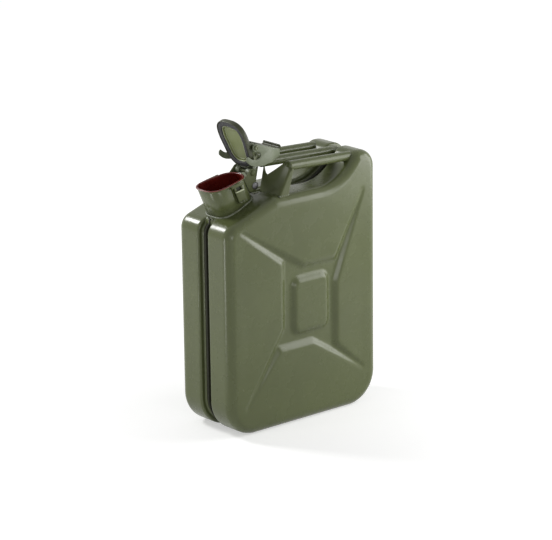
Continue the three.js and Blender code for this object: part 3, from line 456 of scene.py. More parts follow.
def plated(name, colour):
    """Dull zinc plate: metal with cloudy spangle and fine scratches."""
    material, shader, place = new_material(name)
    tree = material.node_tree
    connect(shader, Metallic=0.85)
    spangle = add_node(tree, "TexVoronoi", Vector=place, Scale=260.0).outputs["Color"]
    cloud = add_node(tree, "RGBToBW", Color=spangle).outputs["Val"]
    tone = mixed(cloud, shade(colour, 0.8), shade(colour, 1.15))
    worn = ranged(noise(place, scale=240.0, detail=4.0), *NOISE_SPAN, 0.42, 0.6)
    stretched = add_node(tree, "Mapping", Vector=place, Scale=(900.0, 60.0, 900.0)).outputs["Vector"]
    scratches = noise(stretched, scale=1.0)
    finish_surface(shader, tone, worn, scratches, strength=0.12, distance=0.0003)
    return material


OLIVE = enamel("olive_enamel", (0.1, 0.118, 0.045), (0.3, 0.33, 0.2),
               gloss=0.25, edge_wear_and_highlight=0.3, sheen_level=0.38)
SATIN = enamel("satin_olive_enamel", (0.09, 0.104, 0.044), (0.26, 0.29, 0.2),
               gloss=0.5, edge_wear_and_highlight=0.0, sheen_level=0.22)
# The olive darkened as painted shade, for the cap's dish and the lever's web
SHADED_OLIVE = enamel("painted_shade_olive_enamel", (0.05, 0.056, 0.026), (0.2, 0.22, 0.14), edge_wear_and_highlight=0.3)
SAGE = enamel("sage_enamel", (0.172, 0.197, 0.128), (0.5, 0.54, 0.42))
PLATE = enamel("plate_enamel", (0.21, 0.245, 0.085), (0.5, 0.54, 0.38), gloss=0.42, edge_wear_and_highlight=0.5)
# Pale enamel that stands for light: a painted highlight on the cap pan's beads and on the lug's lip
PAINTED_HIGHLIGHT = enamel("painted_highlight_edge", (0.5, 0.54, 0.36), (0.6, 0.62, 0.5), edge_wear_and_highlight=0.0)
WELD = enamel("weld_enamel", (0.12, 0.135, 0.085), (0.42, 0.45, 0.36), gloss=0.3, edge_wear_and_highlight=0.9)
ZINC = plated("zinc_plate", (0.14, 0.14, 0.145))
# Near-black enamel that stands for shade: painted shade on the groove floor (with some dirt), on the seam
# bead and behind the lug windows
PAINTED_SHADE = enamel("painted_shade_enamel", (0.022, 0.023, 0.013), (0.05, 0.052, 0.035), gloss=0.6)
RUBBER = coating("seal_rubber", (0.022, 0.022, 0.024), shades=(0.8, 1.7), cloud=(60.0, 5.0),
                 cloud_span=(0.35, 0.75), dull_scale=120.0, dull=(0.55, 0.75),
                 grain_scale=900.0, strength=0.2, distance=0.0004)
LINING = coating("lining_lacquer", (0.17, 0.016, 0.01), shades=(0.75, 1.2), cloud=(45.0, 4.0),
                 cloud_span=NOISE_SPAN, dull_scale=90.0, dull=(0.22, 0.4),
                 grain_scale=500.0, strength=0.08, distance=0.0005)


# Pieces

def scene_object(name, data):
    obj = bpy.data.objects.new(name, data)
    bpy.context.scene.collection.objects.link(obj)
    return obj


def smooth_mesh(mesh, change=None):
    """Merges double points, applies a change and makes the faces smooth."""
    work = bmesh.new()
    work.from_mesh(mesh)
    bmesh.ops.remove_doubles(work, verts=work.verts, dist=MERGE_DISTANCE)
    if change:
        change(work)
    for face in work.faces:
        face.smooth = True
    work.to_mesh(mesh)
    work.free()


def face_outward(work):
    bmesh.ops.recalc_face_normals(work, faces=work.faces)


def merge_flats(work):
    bmesh.ops.dissolve_limit(work, angle_limit=FLAT_ANGLE, verts=work.verts, edges=work.edges)


def flip_towards(mesh, outward):
    total = sum((p.normal * p.area for p in mesh.polygons), Vector((0, 0, 0)))
    if total.dot(outward) < 0:
        mesh.flip_normals()


def riding(name, mesh, body, replaces):
    """An object that rides on a body and the nodes that it replaces."""
    obj = scene_object(name, mesh)
    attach(obj, body)
    if replaces:
        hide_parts(*replaces)
    return obj


def piece(name, shape, material, body, replaces=(), outward=None):
    """A smooth piece from points and faces; an open one is flipped to face outward."""
    points, faces = shape
    mesh = bpy.data.meshes.new(name)
    mesh.from_pydata((np.asarray(points, float) * MM).tolist(), [], faces)
    mesh.materials.append(material)
    if outward is None:
        smooth_mesh(mesh, face_outward)
    else:
        smooth_mesh(mesh)
        flip_towards(mesh, Vector(outward))
    return riding(name, mesh, body, replaces)


def rounded_copy(node, body, material, width):
    """A CAD piece of the right shape with its sharp edges rounded."""
    mesh = frame["nodes"][node].data.copy()
    smooth_mesh(mesh, merge_flats)
    mesh.materials.clear()
    mesh.materials.append(material)
    obj = riding(node + "_rounded", mesh, body, [node])
    round_edges(obj, width, segments=3, angle=35, harden=True)


def round_edges(obj, width, segments, angle=30, harden=False):
    edge = obj.modifiers.new("edges", "BEVEL")
    edge.width = width * MM
    edge.segments = segments
    edge.limit_method = "ANGLE"
    edge.angle_limit = radians(angle)
    edge.harden_normals = harden


def add_thickness(obj, thickness):
    solid = obj.modifiers.new("thickness", "SOLIDIFY")
    solid.thickness = thickness * MM
    solid.offset = -1


# Outlines and meshes

MITRE_LEAST = 0.8
TIP_REACH = 0.5
TIP_WAIST = 0.6
TIP_WAIST_AT = 0.8


def arc(x, z, radius, start, end, steps):
    """Points on an arc, angles in degrees."""
    angles = np.radians(np.linspace(start, end, steps + 1))
    return [(x + radius * cos(a), z + radius * sin(a)) for a in angles]


def polar(radius, degrees):
    return (radius * cos(radians(degrees)), radius * sin(radians(degrees)))


def bent(start, control, end, steps):
    """Points on a quadratic curve, without its first point."""
    share = np.linspace(0, 1, steps + 1)[1:]
    start, control, end = (np.array(p, float) for p in (start, control, end))
    return [tuple((1 - t) ** 2 * start + 2 * t * (1 - t) * control + t * t * end) for t in share]


def direction(angle):
    return np.array([cos(angle), sin(angle)])


def unit(vectors):
    return vectors / np.linalg.norm(vectors, axis=-1, keepdims=True)


def run_straight(points, normals, goal, steps):
    """Adds the points between the last one and a goal, with the last normal."""
    begin, normal = points[-1], normals[-1]
    for t in np.linspace(0, 1, steps + 1)[1:-1]:
        points.append(begin + t * (goal - begin))
        normals.append(normal)


def smooth_step(value):
    value = np.clip(value, 0, 1)
    return value * value * (3 - 2 * value)


def depth_inside(outline, points):
    """Signed distance of flat points to a closed outline, positive inside."""
    best = np.full(len(points), np.inf)
    inside = np.zeros(len(points), bool)
    for start, end in zip(outline, np.roll(outline, -1, axis=0)):
        along = end - start
        t = np.clip(((points - start) @ along) / (along @ along), 0, 1)
        best = np.minimum(best, np.linalg.norm(points - start - t[:, None] * along, axis=1))
        if start[1] != end[1]:
            crosses = (start[1] > points[:, 1]) != (end[1] > points[:, 1])
            at = start[0] + (points[:, 1] - start[1]) / along[1] * along[0]
            inside ^= crosses & (points[:, 0] < at)
    return np.where(inside, best, -best)


def at_y(flat, y):
    """Side-view points at one or several distances from the middle plane."""
    return np.c_[flat[:, 0], np.broadcast_to(y, len(flat)), flat[:, 1]]


def outline_normals(outline):
    """Outward mitre vectors of a closed outline, kept short at sharp corners."""
    points = np.asarray(outline, float)
    ahead = unit(np.roll(points, -1, axis=0) - points)
    behind = np.roll(ahead, 1, axis=0)
    normals = np.c_[ahead[:, 1], -ahead[:, 0]] + np.c_[behind[:, 1], -behind[:, 0]]
    area = np.sum(points[:, 0] * np.roll(points[:, 1], -1) - np.roll(points[:, 0], -1) * points[:, 1])
    length = np.maximum(np.linalg.norm(normals, axis=1), MITRE_LEAST)
    return np.sign(area) * 2 * normals / length[:, None] ** 2


def grid_faces(rows, columns, closed=True):
    """Quads between rows of points; closed joins the last column to the first."""
    last = columns if closed else columns - 1
    faces = []
    for r in range(rows - 1):
        for c in range(last):
            d = (c + 1) % columns
            faces.append((r * columns + c, r * columns + d, (r + 1) * columns + d, (r + 1) * columns + c))
    return faces


def ring_mesh(rings, ends=False):
    """Points and faces through rings; ends closes the first and the last one."""
    count = len(rings[0])
    points = [p for ring in rings for p in ring]
    faces = grid_faces(len(rings), count)
    if ends:
        faces.append(tuple(range(count)))
        faces.append(tuple(range(len(points) - count, len(points))))
    return points, faces


def joined(*meshes):
    """Several point and face lists as one."""
    points, faces = [], []
    for more_points, more_faces in meshes:
        base = len(points)
        points += list(more_points)
        faces += [tuple(base + i for i in face) for face in more_faces]
    return points, faces


def plate_mesh(outline, thickness, edge, place):
    """A flat plate with rounded edges; place turns outline points and depths into body points."""
    points = np.asarray(outline, float)
    normals = outline_normals(points)
    turn = np.radians([90, 60, 30, 0])
    levels = [(edge * (cos(a) - 1), edge * (1 - sin(a))) for a in turn]
    levels += [(shift, thickness - depth) for shift, depth in reversed(levels)]
    rings = [[place(*(p + n * shift), depth) for p, n in zip(points, normals)] for shift, depth in levels]
    return ring_mesh(rings, ends=True)


def turned_mesh(pairs, place, sides=40):
    """A turned piece from radius and depth pairs that start and end on the axis."""
    angles = np.linspace(0, 2 * pi, sides, endpoint=False)
    return ring_mesh([[place(r * cos(a), r * sin(a), y) for a in angles] for r, y in pairs])


def tube_mesh(path, radii, sides, closed=False):
    """A tube along a path; an open one gets rounded ends."""
    path = np.asarray(path, float)
    radii = np.broadcast_to(np.asarray(radii, float), len(path))
    if closed:
        tangents = unit(np.roll(path, -1, axis=0) - np.roll(path, 1, axis=0))
    else:
        tangents = unit(np.gradient(path, axis=0))
    up = np.array([0.0, 0.0, 1.0]) if abs(tangents[0][2]) < 0.9 else np.array([1.0, 0.0, 0.0])
    angles = np.linspace(0, 2 * pi, sides, endpoint=False)
    rings = []
    for point, tangent, radius in zip(path, tangents, radii):
        across = unit(np.cross(up, tangent))
        up = np.cross(tangent, across)
        rings.append([point + radius * (cos(a) * across + sin(a) * up) for a in angles])
    if closed:
        return ring_mesh(rings + rings[:1])
    first, last = radii[0] * TIP_REACH * tangents[0], radii[-1] * TIP_REACH * tangents[-1]
    rings.insert(0, [path[0] + TIP_WAIST * (p - path[0]) - TIP_WAIST_AT * first for p in rings[0]])
    rings.insert(0, [path[0] - first] * sides)
    rings.append([path[-1] + TIP_WAIST * (p - path[-1]) + TIP_WAIST_AT * last for p in rings[-1]])
    rings.append([path[-1] + last] * sides)
    return ring_mesh(rings)


def weld_spots(name, body, centres, radius):
    """Small weld spots: flattened lumps of uneven size."""
    meshes = []
    for i, centre in enumerate(centres):
        wobble = [1 + SPOT_WOBBLE * sin(SPOT_WOBBLE_TURN * i + k) for k in range(len(SPOT_PROFILE))]
        size = radius * (1 + SPOT_SPREAD * sin(SPOT_SPREAD_TURN * i))
        pairs = [(r * w * size, y * size) for (r, y), w in zip(SPOT_PROFILE, wobble)]
        meshes.append(turned_mesh(pairs, lambda *p, c=centre: np.add(c, p), sides=14))
    obj = piece(name, joined(*meshes), WELD, body)
    rounding = obj.modifiers.new("round", "SUBSURF")
    rounding.levels = 1
    rounding.render_levels = 1


# Side profile of the body: points on the outer skin with their inward normals

def body_profile():
    points, normals = [], []
    corners = [np.array(c[:2], float) for c in PROFILE_CORNERS]
    count = len(corners)
    arcs = []
    for i, (_, _, radius) in enumerate(PROFILE_CORNERS):
        before = unit(corners[i] - corners[i - 1])
        after = unit(corners[(i + 1) % count] - corners[i])
        side = np.sign(before[0] * after[1] - before[1] * after[0])
        bend = acos(np.clip(before @ after, -1, 1))
        start = corners[i] - before * radius * tan(bend / 2)
        centre = start + side * radius * np.array([-before[1], before[0]])
        first = atan2(start[1] - centre[1], start[0] - centre[0])
        arcs.append((centre, radius, first, side * bend, side))
    for i, (centre, radius, first, sweep, side) in enumerate(arcs):
        steps = max(LEAST_ARC_STEPS, round(radius * abs(sweep) / PROFILE_STEP))
        for a in np.linspace(first, first + sweep, steps + 1):
            ray = direction(a)
            points.append(centre + radius * ray)
            normals.append(-side * ray)
        following = arcs[(i + 1) % count]
        goal = following[0] + following[1] * direction(following[2])
        steps = max(LEAST_LINE_STEPS, round(np.linalg.norm(goal - points[-1]) / PROFILE_STEP))
        run_straight(points, normals, goal, steps)
    return np.array(points), np.array(normals)


SKIN, INWARD = body_profile()


# Frames of the spout, the cap and the lever

def hinge_frame(turn):
    """Places points of a frame that is turned about the hinge axis."""
    c, s = cos(turn), sin(turn)
    return lambda x, y, z: (HINGE[0] + x * c - z * s, y, HINGE[1] + x * s + z * c)


def from_lever(x, y, z):
    return (LEVER_PIVOT[0] + x, y, LEVER_PIVOT[1] + z)


from_spout = hinge_frame(MOUTH_TILT)
from_cap = hinge_frame(CAP_TURN)


# The mouth's outline and what lies round it

def mouth_outline():
    """Points on the mouth's outline, two squarish ends and straight sides, with outward normals."""
    taper = asin((MOUTH_FRONT[1] - MOUTH_REAR[1]) / (MOUTH_REAR[0] - MOUTH_FRONT[0]))
    start = pi / 2 - taper
    points, normals = [], []
    front_steps, rear_steps, side_steps = MOUTH_STEPS
    spans = [
        (MOUTH_FRONT, np.linspace(start, 2 * pi - start, front_steps)),
        (MOUTH_REAR, np.linspace(-start, start, rear_steps)),
    ]
    for i, (circle, angles) in enumerate(spans):
        power = MOUTH_SQUARENESS[i]
        for a in angles:
            ray = direction(a)
            reach = (abs(ray[0]) ** power + abs(ray[1]) ** power) ** (-1 / power)
            points.append(np.array([circle[0], 0.0]) + circle[1] * reach * ray)
            normals.append(unit(np.sign(ray) * np.abs(ray) ** (power - 1)))
        other, other_angles = spans[1 - i]
        goal = np.array([other[0], 0.0]) + other[1] * direction(other_angles[0])
        run_straight(points, normals, goal, side_steps)
    return np.array(points), np.array(normals)


MOUTH, MOUTH_OUT = mouth_outline()


def mouth_distance(points):
    """Distance of points to a round-ended neck, negative inside, and their height out of its mouth."""
    points = np.asarray(points, float)
    c, s = cos(MOUTH_TILT), sin(MOUTH_TILT)
    x, y, z = points[:, 0] - HINGE[0], points[:, 1], points[:, 2] - HINGE[1]
    along, out = x * c + z * s, z * c - x * s
    along = along + out * NECK_SHEAR - MOUTH_FRONT[0]
    across = np.abs(y)
    span = MOUTH_REAR[0] - MOUTH_FRONT[0]
    b = (MOUTH_FRONT[1] - MOUTH_REAR[1]) / span
    a = sqrt(1 - b * b)
    k = -b * across + a * along
    front = np.hypot(across, along) - MOUTH_FRONT[1]
    rear = np.hypot(across, along - span) - MOUTH_REAR[1]
    flank = a * across + b * along - MOUTH_FRONT[1]
    return np.where(k < 0, front, np.where(k > a * span, rear, flank)), out


def round_neck(points, out):
    """True for points at the top of the body, where the neck stands."""
    return (points[:, 2] > NECK_ZONE_LOW) & (out > -NECK_ZONE_DEPTH)


def pad_share(points):
    """0 on the flat pad round the neck, 1 where the seam groove has its full depth."""
    distance, out = mouth_distance(points)
    share = smooth_step((distance - PAD_MARGIN) / PAD_BLEND)
    return np.where(round_neck(points, out), share, 1.0)


def mouth_ring(offset, z, place, sheared=False):
    """A ring of points round the mouth; z is one height or one for each point."""
    flat = MOUTH + offset * MOUTH_OUT
    heights = np.broadcast_to(np.asarray(z, float), len(flat))
    shift = NECK_SHEAR if sheared else 0.0
    return [place(x - h * shift, y, h) for (x, y), h in zip(flat, heights)]


def mouth_rings(sections, place, sheared=False):
    """Rings of points through a list of offset and height pairs."""
    return [mouth_ring(offset, z, place, sheared) for offset, z in sections]


def mouth_loop(sections, place, sheared=False):
    """A ring-shaped mesh, whose last section joins the first one."""
    return ring_mesh(mouth_rings(sections + sections[:1], place, sheared))


def mouth_lid(sections, place):
    """A lid mesh, closed at the middle of its first and last sections."""
    return ring_mesh(mouth_rings(sections, place), ends=True)


# Half shells with the pressing

def press_field():
    """Depth of the pressing on a one-millimetre grid, softened as drawn sheet is."""
    xs = np.arange(-FIELD_HALF, FIELD_HALF + 1.0)
    zs = np.arange(0, BODY_HEIGHT + 1.0)
    grid = np.stack(np.meshgrid(xs, zs, indexing="ij"), axis=-1)
    in_press = depth_inside(np.array(PRESS_CORNERS, float), grid.reshape(-1, 2)).reshape(grid.shape[:2])
    depth = PRESS_DEPTH * np.clip((in_press + PRESS_SPREAD) / PRESS_SLOPE, 0, 1)
    over = np.maximum(np.abs(grid - BOSS_CENTRE) - BOSS_HALF + BOSS_CORNER_R, 0)
    in_boss = BOSS_CORNER_R - np.linalg.norm(over, axis=-1)
    depth *= 1 - np.clip(in_boss / BOSS_SLOPE, 0, 1)
    reach = np.arange(-PRESS_BLUR_REACH, PRESS_BLUR_REACH + 1)
    kernel = np.exp(-0.5 * (reach / PRESS_BLUR) ** 2)
    kernel /= kernel.sum()
    for axis in (0, 1):
        depth = np.apply_along_axis(lambda line: np.convolve(line, kernel, mode="same"), axis, depth)
    return depth


PRESS_FIELD = press_field()


def press_depth(x, z):
    """The field between its grid points."""
    u = np.clip(np.asarray(x) + FIELD_HALF, 0, 2 * FIELD_HALF - FIELD_MARGIN)
    v = np.clip(np.asarray(z), 0, BODY_HEIGHT - FIELD_MARGIN)
    i, j = u.astype(int), v.astype(int)
    a, b = u - i, v - j
    low = PRESS_FIELD[i, j] * (1 - a) + PRESS_FIELD[i + 1, j] * a
    high = PRESS_FIELD[i, j + 1] * (1 - a) + PRESS_FIELD[i + 1, j + 1] * a
    return low * (1 - b) + high * b


def sheet_wave(x, z):
    """The slight unevenness of a drawn panel, never below zero."""
    crossed = np.sin(x / WAVE_X[0] + WAVE_PHASE) * np.cos(z / WAVE_Z[0])
    slanted = np.sin(x / WAVE_X[1] - z / WAVE_Z[1])
    steep = np.cos(z / WAVE_Z[2] + x / WAVE_X[2])
    return WAVE_HEIGHT * (crossed + slanted + steep) + 3 * WAVE_HEIGHT


def shell_section():
    """Insets and distances from the middle plane, from the seam to the edge of the face."""
    floor_y = GROOVE_HALF - GROOVE_FLOOR_R
    lip_y = GROOVE_HALF + GROOVE_LIP_R
    rows = [(GROOVE_DEPTH, y) for y in GROOVE_FLOOR_ROWS]
    rows += arc(GROOVE_DEPTH - GROOVE_FLOOR_R, floor_y, GROOVE_FLOOR_R, 0, 90, steps=5)
    rows += arc(GROOVE_LIP_R, lip_y, GROOVE_LIP_R, 270, 180, steps=7)
    rows += [(0, y) for y in np.linspace(lip_y, WALL_EDGE_Y, num=13)[1:-1]]
    return rows + arc(FACE_EDGE_R, WALL_EDGE_Y, FACE_EDGE_R, 180, 90, steps=16)


def half_shell(name, side):
    """One drawn half with its groove, its pressed face and the hole for the neck."""
    rows = []
    for inset, y in shell_section():
        in_seam = y < GROOVE_HALF + GROOVE_LIP_R
        depth = inset * pad_share(at_y(SKIN, y)) if in_seam else np.full(len(SKIN), float(inset))
        rows.append(at_y(SKIN + depth[:, None] * INWARD, y))
    rim = SKIN + FACE_EDGE_R * INWARD
    for t in np.linspace(1, 0, FACE_ROWS + 1)[1:]:
        at = PRESS_CENTRE + t * (rim - PRESS_CENTRE)
        fade = smooth_step((1 - t) * WAVE_FADE)
        depth = press_depth(*at.T) + fade * sheet_wave(*at.T)
        rows.append(at_y(at, BODY_WIDTH / 2 - depth))
    points = np.vstack(rows)
    faces = np.array(grid_faces(len(rows), len(SKIN)))
    distance, out = mouth_distance(points)
    in_bore = (distance < NECK_BORE) & round_neck(points, out)
    faces = faces[~in_bore[faces].all(axis=1)]
    edge = np.unique(faces)
    edge = edge[in_bore[edge]]
    points[edge] = onto_bore(points[edge], distance[edge])
    points[:, 1] *= side
    obj = piece(name + "_shell_skin", (points, faces.tolist()), OLIVE, "can",
                [name + "_shell"], outward=(0, side, 0))
    paint_groove_shade(obj)
    add_thickness(obj, SHEET)


def onto_bore(points, distance):
    """Moves the points round the hole for the neck out to its edge."""
    slopes = []
    for axis in np.eye(3)[:2]:
        ahead, _ = mouth_distance(points + BORE_STEP * axis)
        slopes.append((ahead - distance) / BORE_STEP)
    slope = np.c_[slopes[0], slopes[1], np.zeros(len(points))]
    return points + slope * ((NECK_BORE - distance) / np.maximum((slope ** 2).sum(1), TINY))[:, None]


def paint_groove_shade(obj):
    """Painted shade, with some dirt, along the floor of the seam groove."""
    obj.data.materials.append(PAINTED_SHADE)
    centres = np.array([p.center for p in obj.data.polygons]) / MM
    on_floor = np.abs(centres[:, 1]) < GROOVE_HALF - GROOVE_FLOOR_R
    for index in np.flatnonzero(on_floor & (pad_share(centres) > SHADE_FROM_SHARE)):
        obj.data.polygons[index].material_index = 1


def seam_weld():
    """A rippled ridge in the groove, almost flush on the pad round the neck, coloured with painted shade.
    """
    count = len(SKIN)
    flat = at_y(SKIN, 0.0)
    share = pad_share(flat)
    ripple = SEAM_RIPPLE * np.sin(np.arange(count) * SEAM_RIPPLE_TURN)
    rows = []
    for a in np.radians(np.linspace(0, 180, num=11)):
        in_groove = GROOVE_DEPTH + SEAM_SINK - (GROOVE_DEPTH - SEAM_TOP) * sin(a)
        depth = share * in_groove - (1 - share) * SEAM_PROUD * sin(a) - ripple * sin(a)
        rows.append(at_y(SKIN + depth[:, None] * INWARD, SEAM_HALF * cos(a)))
    distance, out = mouth_distance(flat)
    keep = ~((distance < NECK_BORE) & round_neck(flat, out))
    faces = np.array(grid_faces(len(rows), count))
    faces = faces[np.tile(keep, len(rows))[faces].all(axis=1)]
    piece("seam_weld_bead", (np.vstack(rows), faces.tolist()), PAINTED_SHADE, "can", ["seam_weld"],
          outward=(0, 0, 1))


for side_name, side_sign in SIDES:
    half_shell(side_name, side_sign)
seam_weld()


# Spout

def neck_foot(offset, sink):
    """Heights at which a wall of the neck lies that deep under the body's skin."""
    heights = np.arange(*NECK_SEARCH)
    rings = np.array([mouth_ring(offset, z, from_spout, sheared=True) for z in heights])
    depth = depth_inside(SKIN, rings[..., [0, 2]].reshape(-1, 2)).reshape(len(heights), -1)
    first = np.argmax(depth >= sink, axis=0)
    columns = np.arange(depth.shape[1])
    low, high = depth[first, columns], depth[first - 1, columns]
    return heights[first] + (low - sink) / np.maximum(low - high, TINY)


def spout_neck(inner_foot):
    """The neck's sheet with its rolled rim."""
    inner = -NECK_INSET + LINING_GAP
    outer_foot = neck_foot(-RIM_LIP, NECK_SINK)
    walls = arc(-RIM_ROLL, -RIM_ROLL, RIM_ROLL, 90, -150, steps=14)
    walls += [(-RIM_LIP, -RIM_DEPTH), (-RIM_LIP, 0.5 * outer_foot), (-RIM_LIP, outer_foot)]
    walls += [(inner, inner_foot), (inner, -RIM_DEPTH), (inner, -RIM_ROLL)]
    shape = mouth_loop(walls, from_spout, sheared=True)
    piece("spout_neck_skin", shape, OLIVE, "can", ["spout_neck"])


def spout_lining(inner_foot):
    """The lacquer inside the neck and over half of its rim."""
    inner = -NECK_INSET - LINING_GAP
    film = arc(-RIM_ROLL, -RIM_ROLL, RIM_ROLL + LINING_FILM, 20, 180, steps=12)
    film += [(inner, -LINING_DEPTH), (inner, 0.5 * inner_foot), (inner, inner_foot)]
    shape = ring_mesh(mouth_rings(film, from_spout, sheared=True))
    piece("spout_lining", shape, LINING, "can", outward=(0, 0, 1))


def spout_collar():
    """The weld bead round the neck's foot."""
    offset = -RIM_LIP + COLLAR_OUT
    path = mouth_ring(offset, neck_foot(offset, COLLAR_SINK) + COLLAR_LIFT, from_spout, sheared=True)
    count = np.arange(len(path))
    radii = COLLAR_R + sum(height * np.sin(count * turn) for height, turn in COLLAR_RIPPLES)
    bead = tube_mesh(path, radii, sides=12, closed=True)
    piece("spout_collar_bead", bead, WELD, "can", ["spout_collar"])


lining_foot = neck_foot(-NECK_INSET, NECK_SINK)
spout_neck(lining_foot)
spout_lining(lining_foot)
spout_collar()
weld_spots("neck_front_weld", "can", NECK_WELDS, WELD_R)


# Handles and brackets

def handle_height(x):
    """The handles' axis, which rises a little towards the spout."""
    return HANDLE_Z + HANDLE_RISE * (HUMP_FRONT_X - x) / (HUMP_FRONT_X - OUTER_HANDLE_FRONT)


def handle(name, y, front):
    """A tube with a domed nose, from its front into the hump."""
    turns = np.radians(np.linspace(0, 90, num=9))
    nose = [(HANDLE_R * sin(a), front + HANDLE_NOSE * (1 - cos(a))) for a in turns]
    run = np.linspace(front + HANDLE_NOSE_END, HUMP_FRONT_X + HANDLE_SINK, num=12)
    pairs = nose + [(HANDLE_R, x) for x in run] + [(0, run[-1])]
    shape = turned_mesh(pairs, lambda u, v, w: (w, y + u, handle_height(w) + v), sides=48)
    piece(name + "_handle_tube", shape, OLIVE, "can", [name + "_handle"])


def bracket_top(y):
    """Height of the bracket's upper edge: a horn, a scallop and the seat of the outer handle."""
    if y <= SCALLOP_Y:
        return SCALLOP_Z + HORN_RISE * ((SCALLOP_Y - y) / HORN_WIDTH) ** HORN_CURVE
    if y <= SEAT_Y:
        share = (y - SCALLOP_Y) / (SEAT_Y - SCALLOP_Y)
        return SCALLOP_Z + (SEAT_Z - SCALLOP_Z) * share ** SCALLOP_CURVE
    return SEAT_Z - max(0.0, y - SEAT_END_Y) * SEAT_FALL


def bracket_column(y, back, side):
    """Points up the sheet at a distance from the middle plane and a distance behind the web."""
    rounding = max(0.0, y - WALL_EDGE_Y)
    drop = FACE_EDGE_R - sqrt(FACE_EDGE_R ** 2 - rounding ** 2)
    low = VALLEY_HEIGHT - drop - BRACKET_SINK
    on_flange = back > BRACKET_FOLD_R
    high = FLANGE_TOP - FLANGE_FALL * back if on_flange else bracket_top(y)
    outward = smooth_step((y - BRACKET_INNER_Y) / BRACKET_LEAN_SPAN)
    lean = HORN_LEAN + (BRACKET_LEAN - HORN_LEAN) * outward
    turn_in = TURN_IN * smooth_step((y - TURN_IN_Y) / TURN_IN_SPAN)
    narrowing = FLANGE_NARROWING if on_flange else 0.0
    column = []
    for t in np.linspace(0, 1, BRACKET_STEPS):
        z = low + t * (high - low)
        rise = z - VALLEY_HEIGHT
        x = BRACKET_FOOT_X + rise * lean + back * (1 - narrowing * t)
        column.append((x, side * (y - rise * turn_in), z))
    return column


def bracket(name, side):
    """A folded sheet: a leaning web, a bend at its outer edge and a flange to the rear."""
    path = [(y, 0.0) for y in BRACKET_WEB_ROWS]
    path += arc(BRACKET_OUTER_Y - BRACKET_FOLD_R, BRACKET_FOLD_R, BRACKET_FOLD_R, -90, 0, steps=7)
    path += [(BRACKET_OUTER_Y, x) for x in FLANGE_ROWS]
    points = [p for y, back in path for p in bracket_column(y, back, side)]
    faces = grid_faces(len(path), BRACKET_STEPS, closed=False)
    obj = piece(name + "_bracket_sheet", (points, faces), SATIN, "can",
                [name + "_handle_bracket"], outward=(-1, side, 0))
    add_thickness(obj, BRACKET_SHEET)
    round_edges(obj, BRACKET_EDGE, segments=2)
    weld_z = VALLEY_HEIGHT - FOOT_WELD_SINK
    feet = [(BRACKET_FOOT_X + x, side * (FOOT_WELD_Y - FOOT_WELD_STEP * k), weld_z)
            for k, x in enumerate(FOOT_WELD_X)]
    weld_spots(name + "_bracket_weld", "can", feet, WELD_R)


handle("near", -HANDLE_SPACING, OUTER_HANDLE_FRONT)
handle("centre", 0, CENTRE_HANDLE_FRONT)
handle("far", HANDLE_SPACING, OUTER_HANDLE_FRONT)
for side_name, side_sign in SIDES:
    bracket(side_name, side_sign)


# Hinge, catch lugs and vent pipe

def cross_pin(name, z, radii, material):
    """A pin across the links with a domed head at each end."""
    shank, head = radii
    pairs = [(share * head, -PIN_SEAT - rise) for share, rise in PIN_HEAD] + [(shank, -PIN_SEAT)]
    pairs = pairs + [(r, -y) for r, y in reversed(pairs)]
    shape = turned_mesh(pairs, lambda u, v, w: from_spout(u, w, z + v))
    piece(name + "_turned", shape, material, "can", replaces=[name])


def hinge_arm(name, side):
    """A waisted link plate, whose front edge leans in to the neck."""
    outline = arc(0, 0, LINK_R, 0, 118, steps=12) + LINK_FRONT
    outline += arc(0, RIVET_Z, LINK_R, 270, 380, steps=12) + LINK_WAIST

    def place(x, z, depth):
        lean = LINK_LEAN * depth * smooth_step((LINK_LEAN_X - x) / LINK_LEAN_SPAN)
        return from_spout(x - lean, side * (LINK_Y + depth), z)

    shape = plate_mesh(outline, LINK_SHEET, LINK_EDGE, place)
    piece(name + "_hinge_link", shape, SATIN, "can", replaces=[name + "_hinge_arm"])


def lug_place(side, y):
    """Places points of a lug by distance from its leaning middle line, height and depth beyond y."""
    return lambda x, z, depth: from_spout(LUG_MIDDLE + x - z * NECK_SHEAR, side * (y + depth), z)


def lug_bar(side, bar, layer):
    left, right, high, low = bar
    y, thickness, edge = layer
    outline = [(left, high), (left, low), (right, low), (right, high)]
    return plate_mesh(outline, thickness, edge, lug_place(side, y))


def catch_lug(name, side):
    """A strap on two bridges at the neck's side: behind its window lies a dark plate of painted shade, and
    its lip carries a painted highlight.
    """
    nodes = [name + "_catch_lug"]
    piece(name + "_catch_window_shade", lug_bar(side, LUG_SHADE_BAR, LUG_SHADE), PAINTED_SHADE, "can", replaces=nodes)
    piece(name + "_catch_lip", lug_bar(side, LUG_LIP_BAR, LUG_LIP), PAINTED_HIGHLIGHT, "can", replaces=nodes)
    strap = [lug_bar(side, bar, LUG_STRAP) for bar in LUG_STRAP_BARS]
    strap += [lug_bar(side, bar, LUG_BRIDGE) for bar in LUG_BRIDGE_BARS]
    piece(name + "_catch_strap", joined(*strap), SATIN, "can", nodes)
    spots = [lug_place(side, LUG_WELD_Y)(x, LUG_WELD_Z, 0) for x in LUG_WELD_X]
    weld_spots(name + "_catch_weld", "can", spots, LUG_WELD_R)


def vent_tube():
    """The breather pipe, from the neck into the hump."""
    _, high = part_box("vent_tube")
    path = [(x, 0, z) for x, z in VENT_ROUTE]
    path.append((high[0] / MM - VENT_END, 0, high[2] / MM - VENT_END))
    piece("vent_tube_pipe", tube_mesh(path, VENT_R, sides=16), LINING, "can", replaces=["vent_tube"])


cross_pin("hinge_pin", 0, PIN_R, SATIN)
cross_pin("hinge_rivet", RIVET_Z, RIVET_R, ZINC)
vent_tube()
for side_name, side_sign in SIDES:
    hinge_arm(side_name, side_sign)
    catch_lug(side_name, side_sign)


# Cap

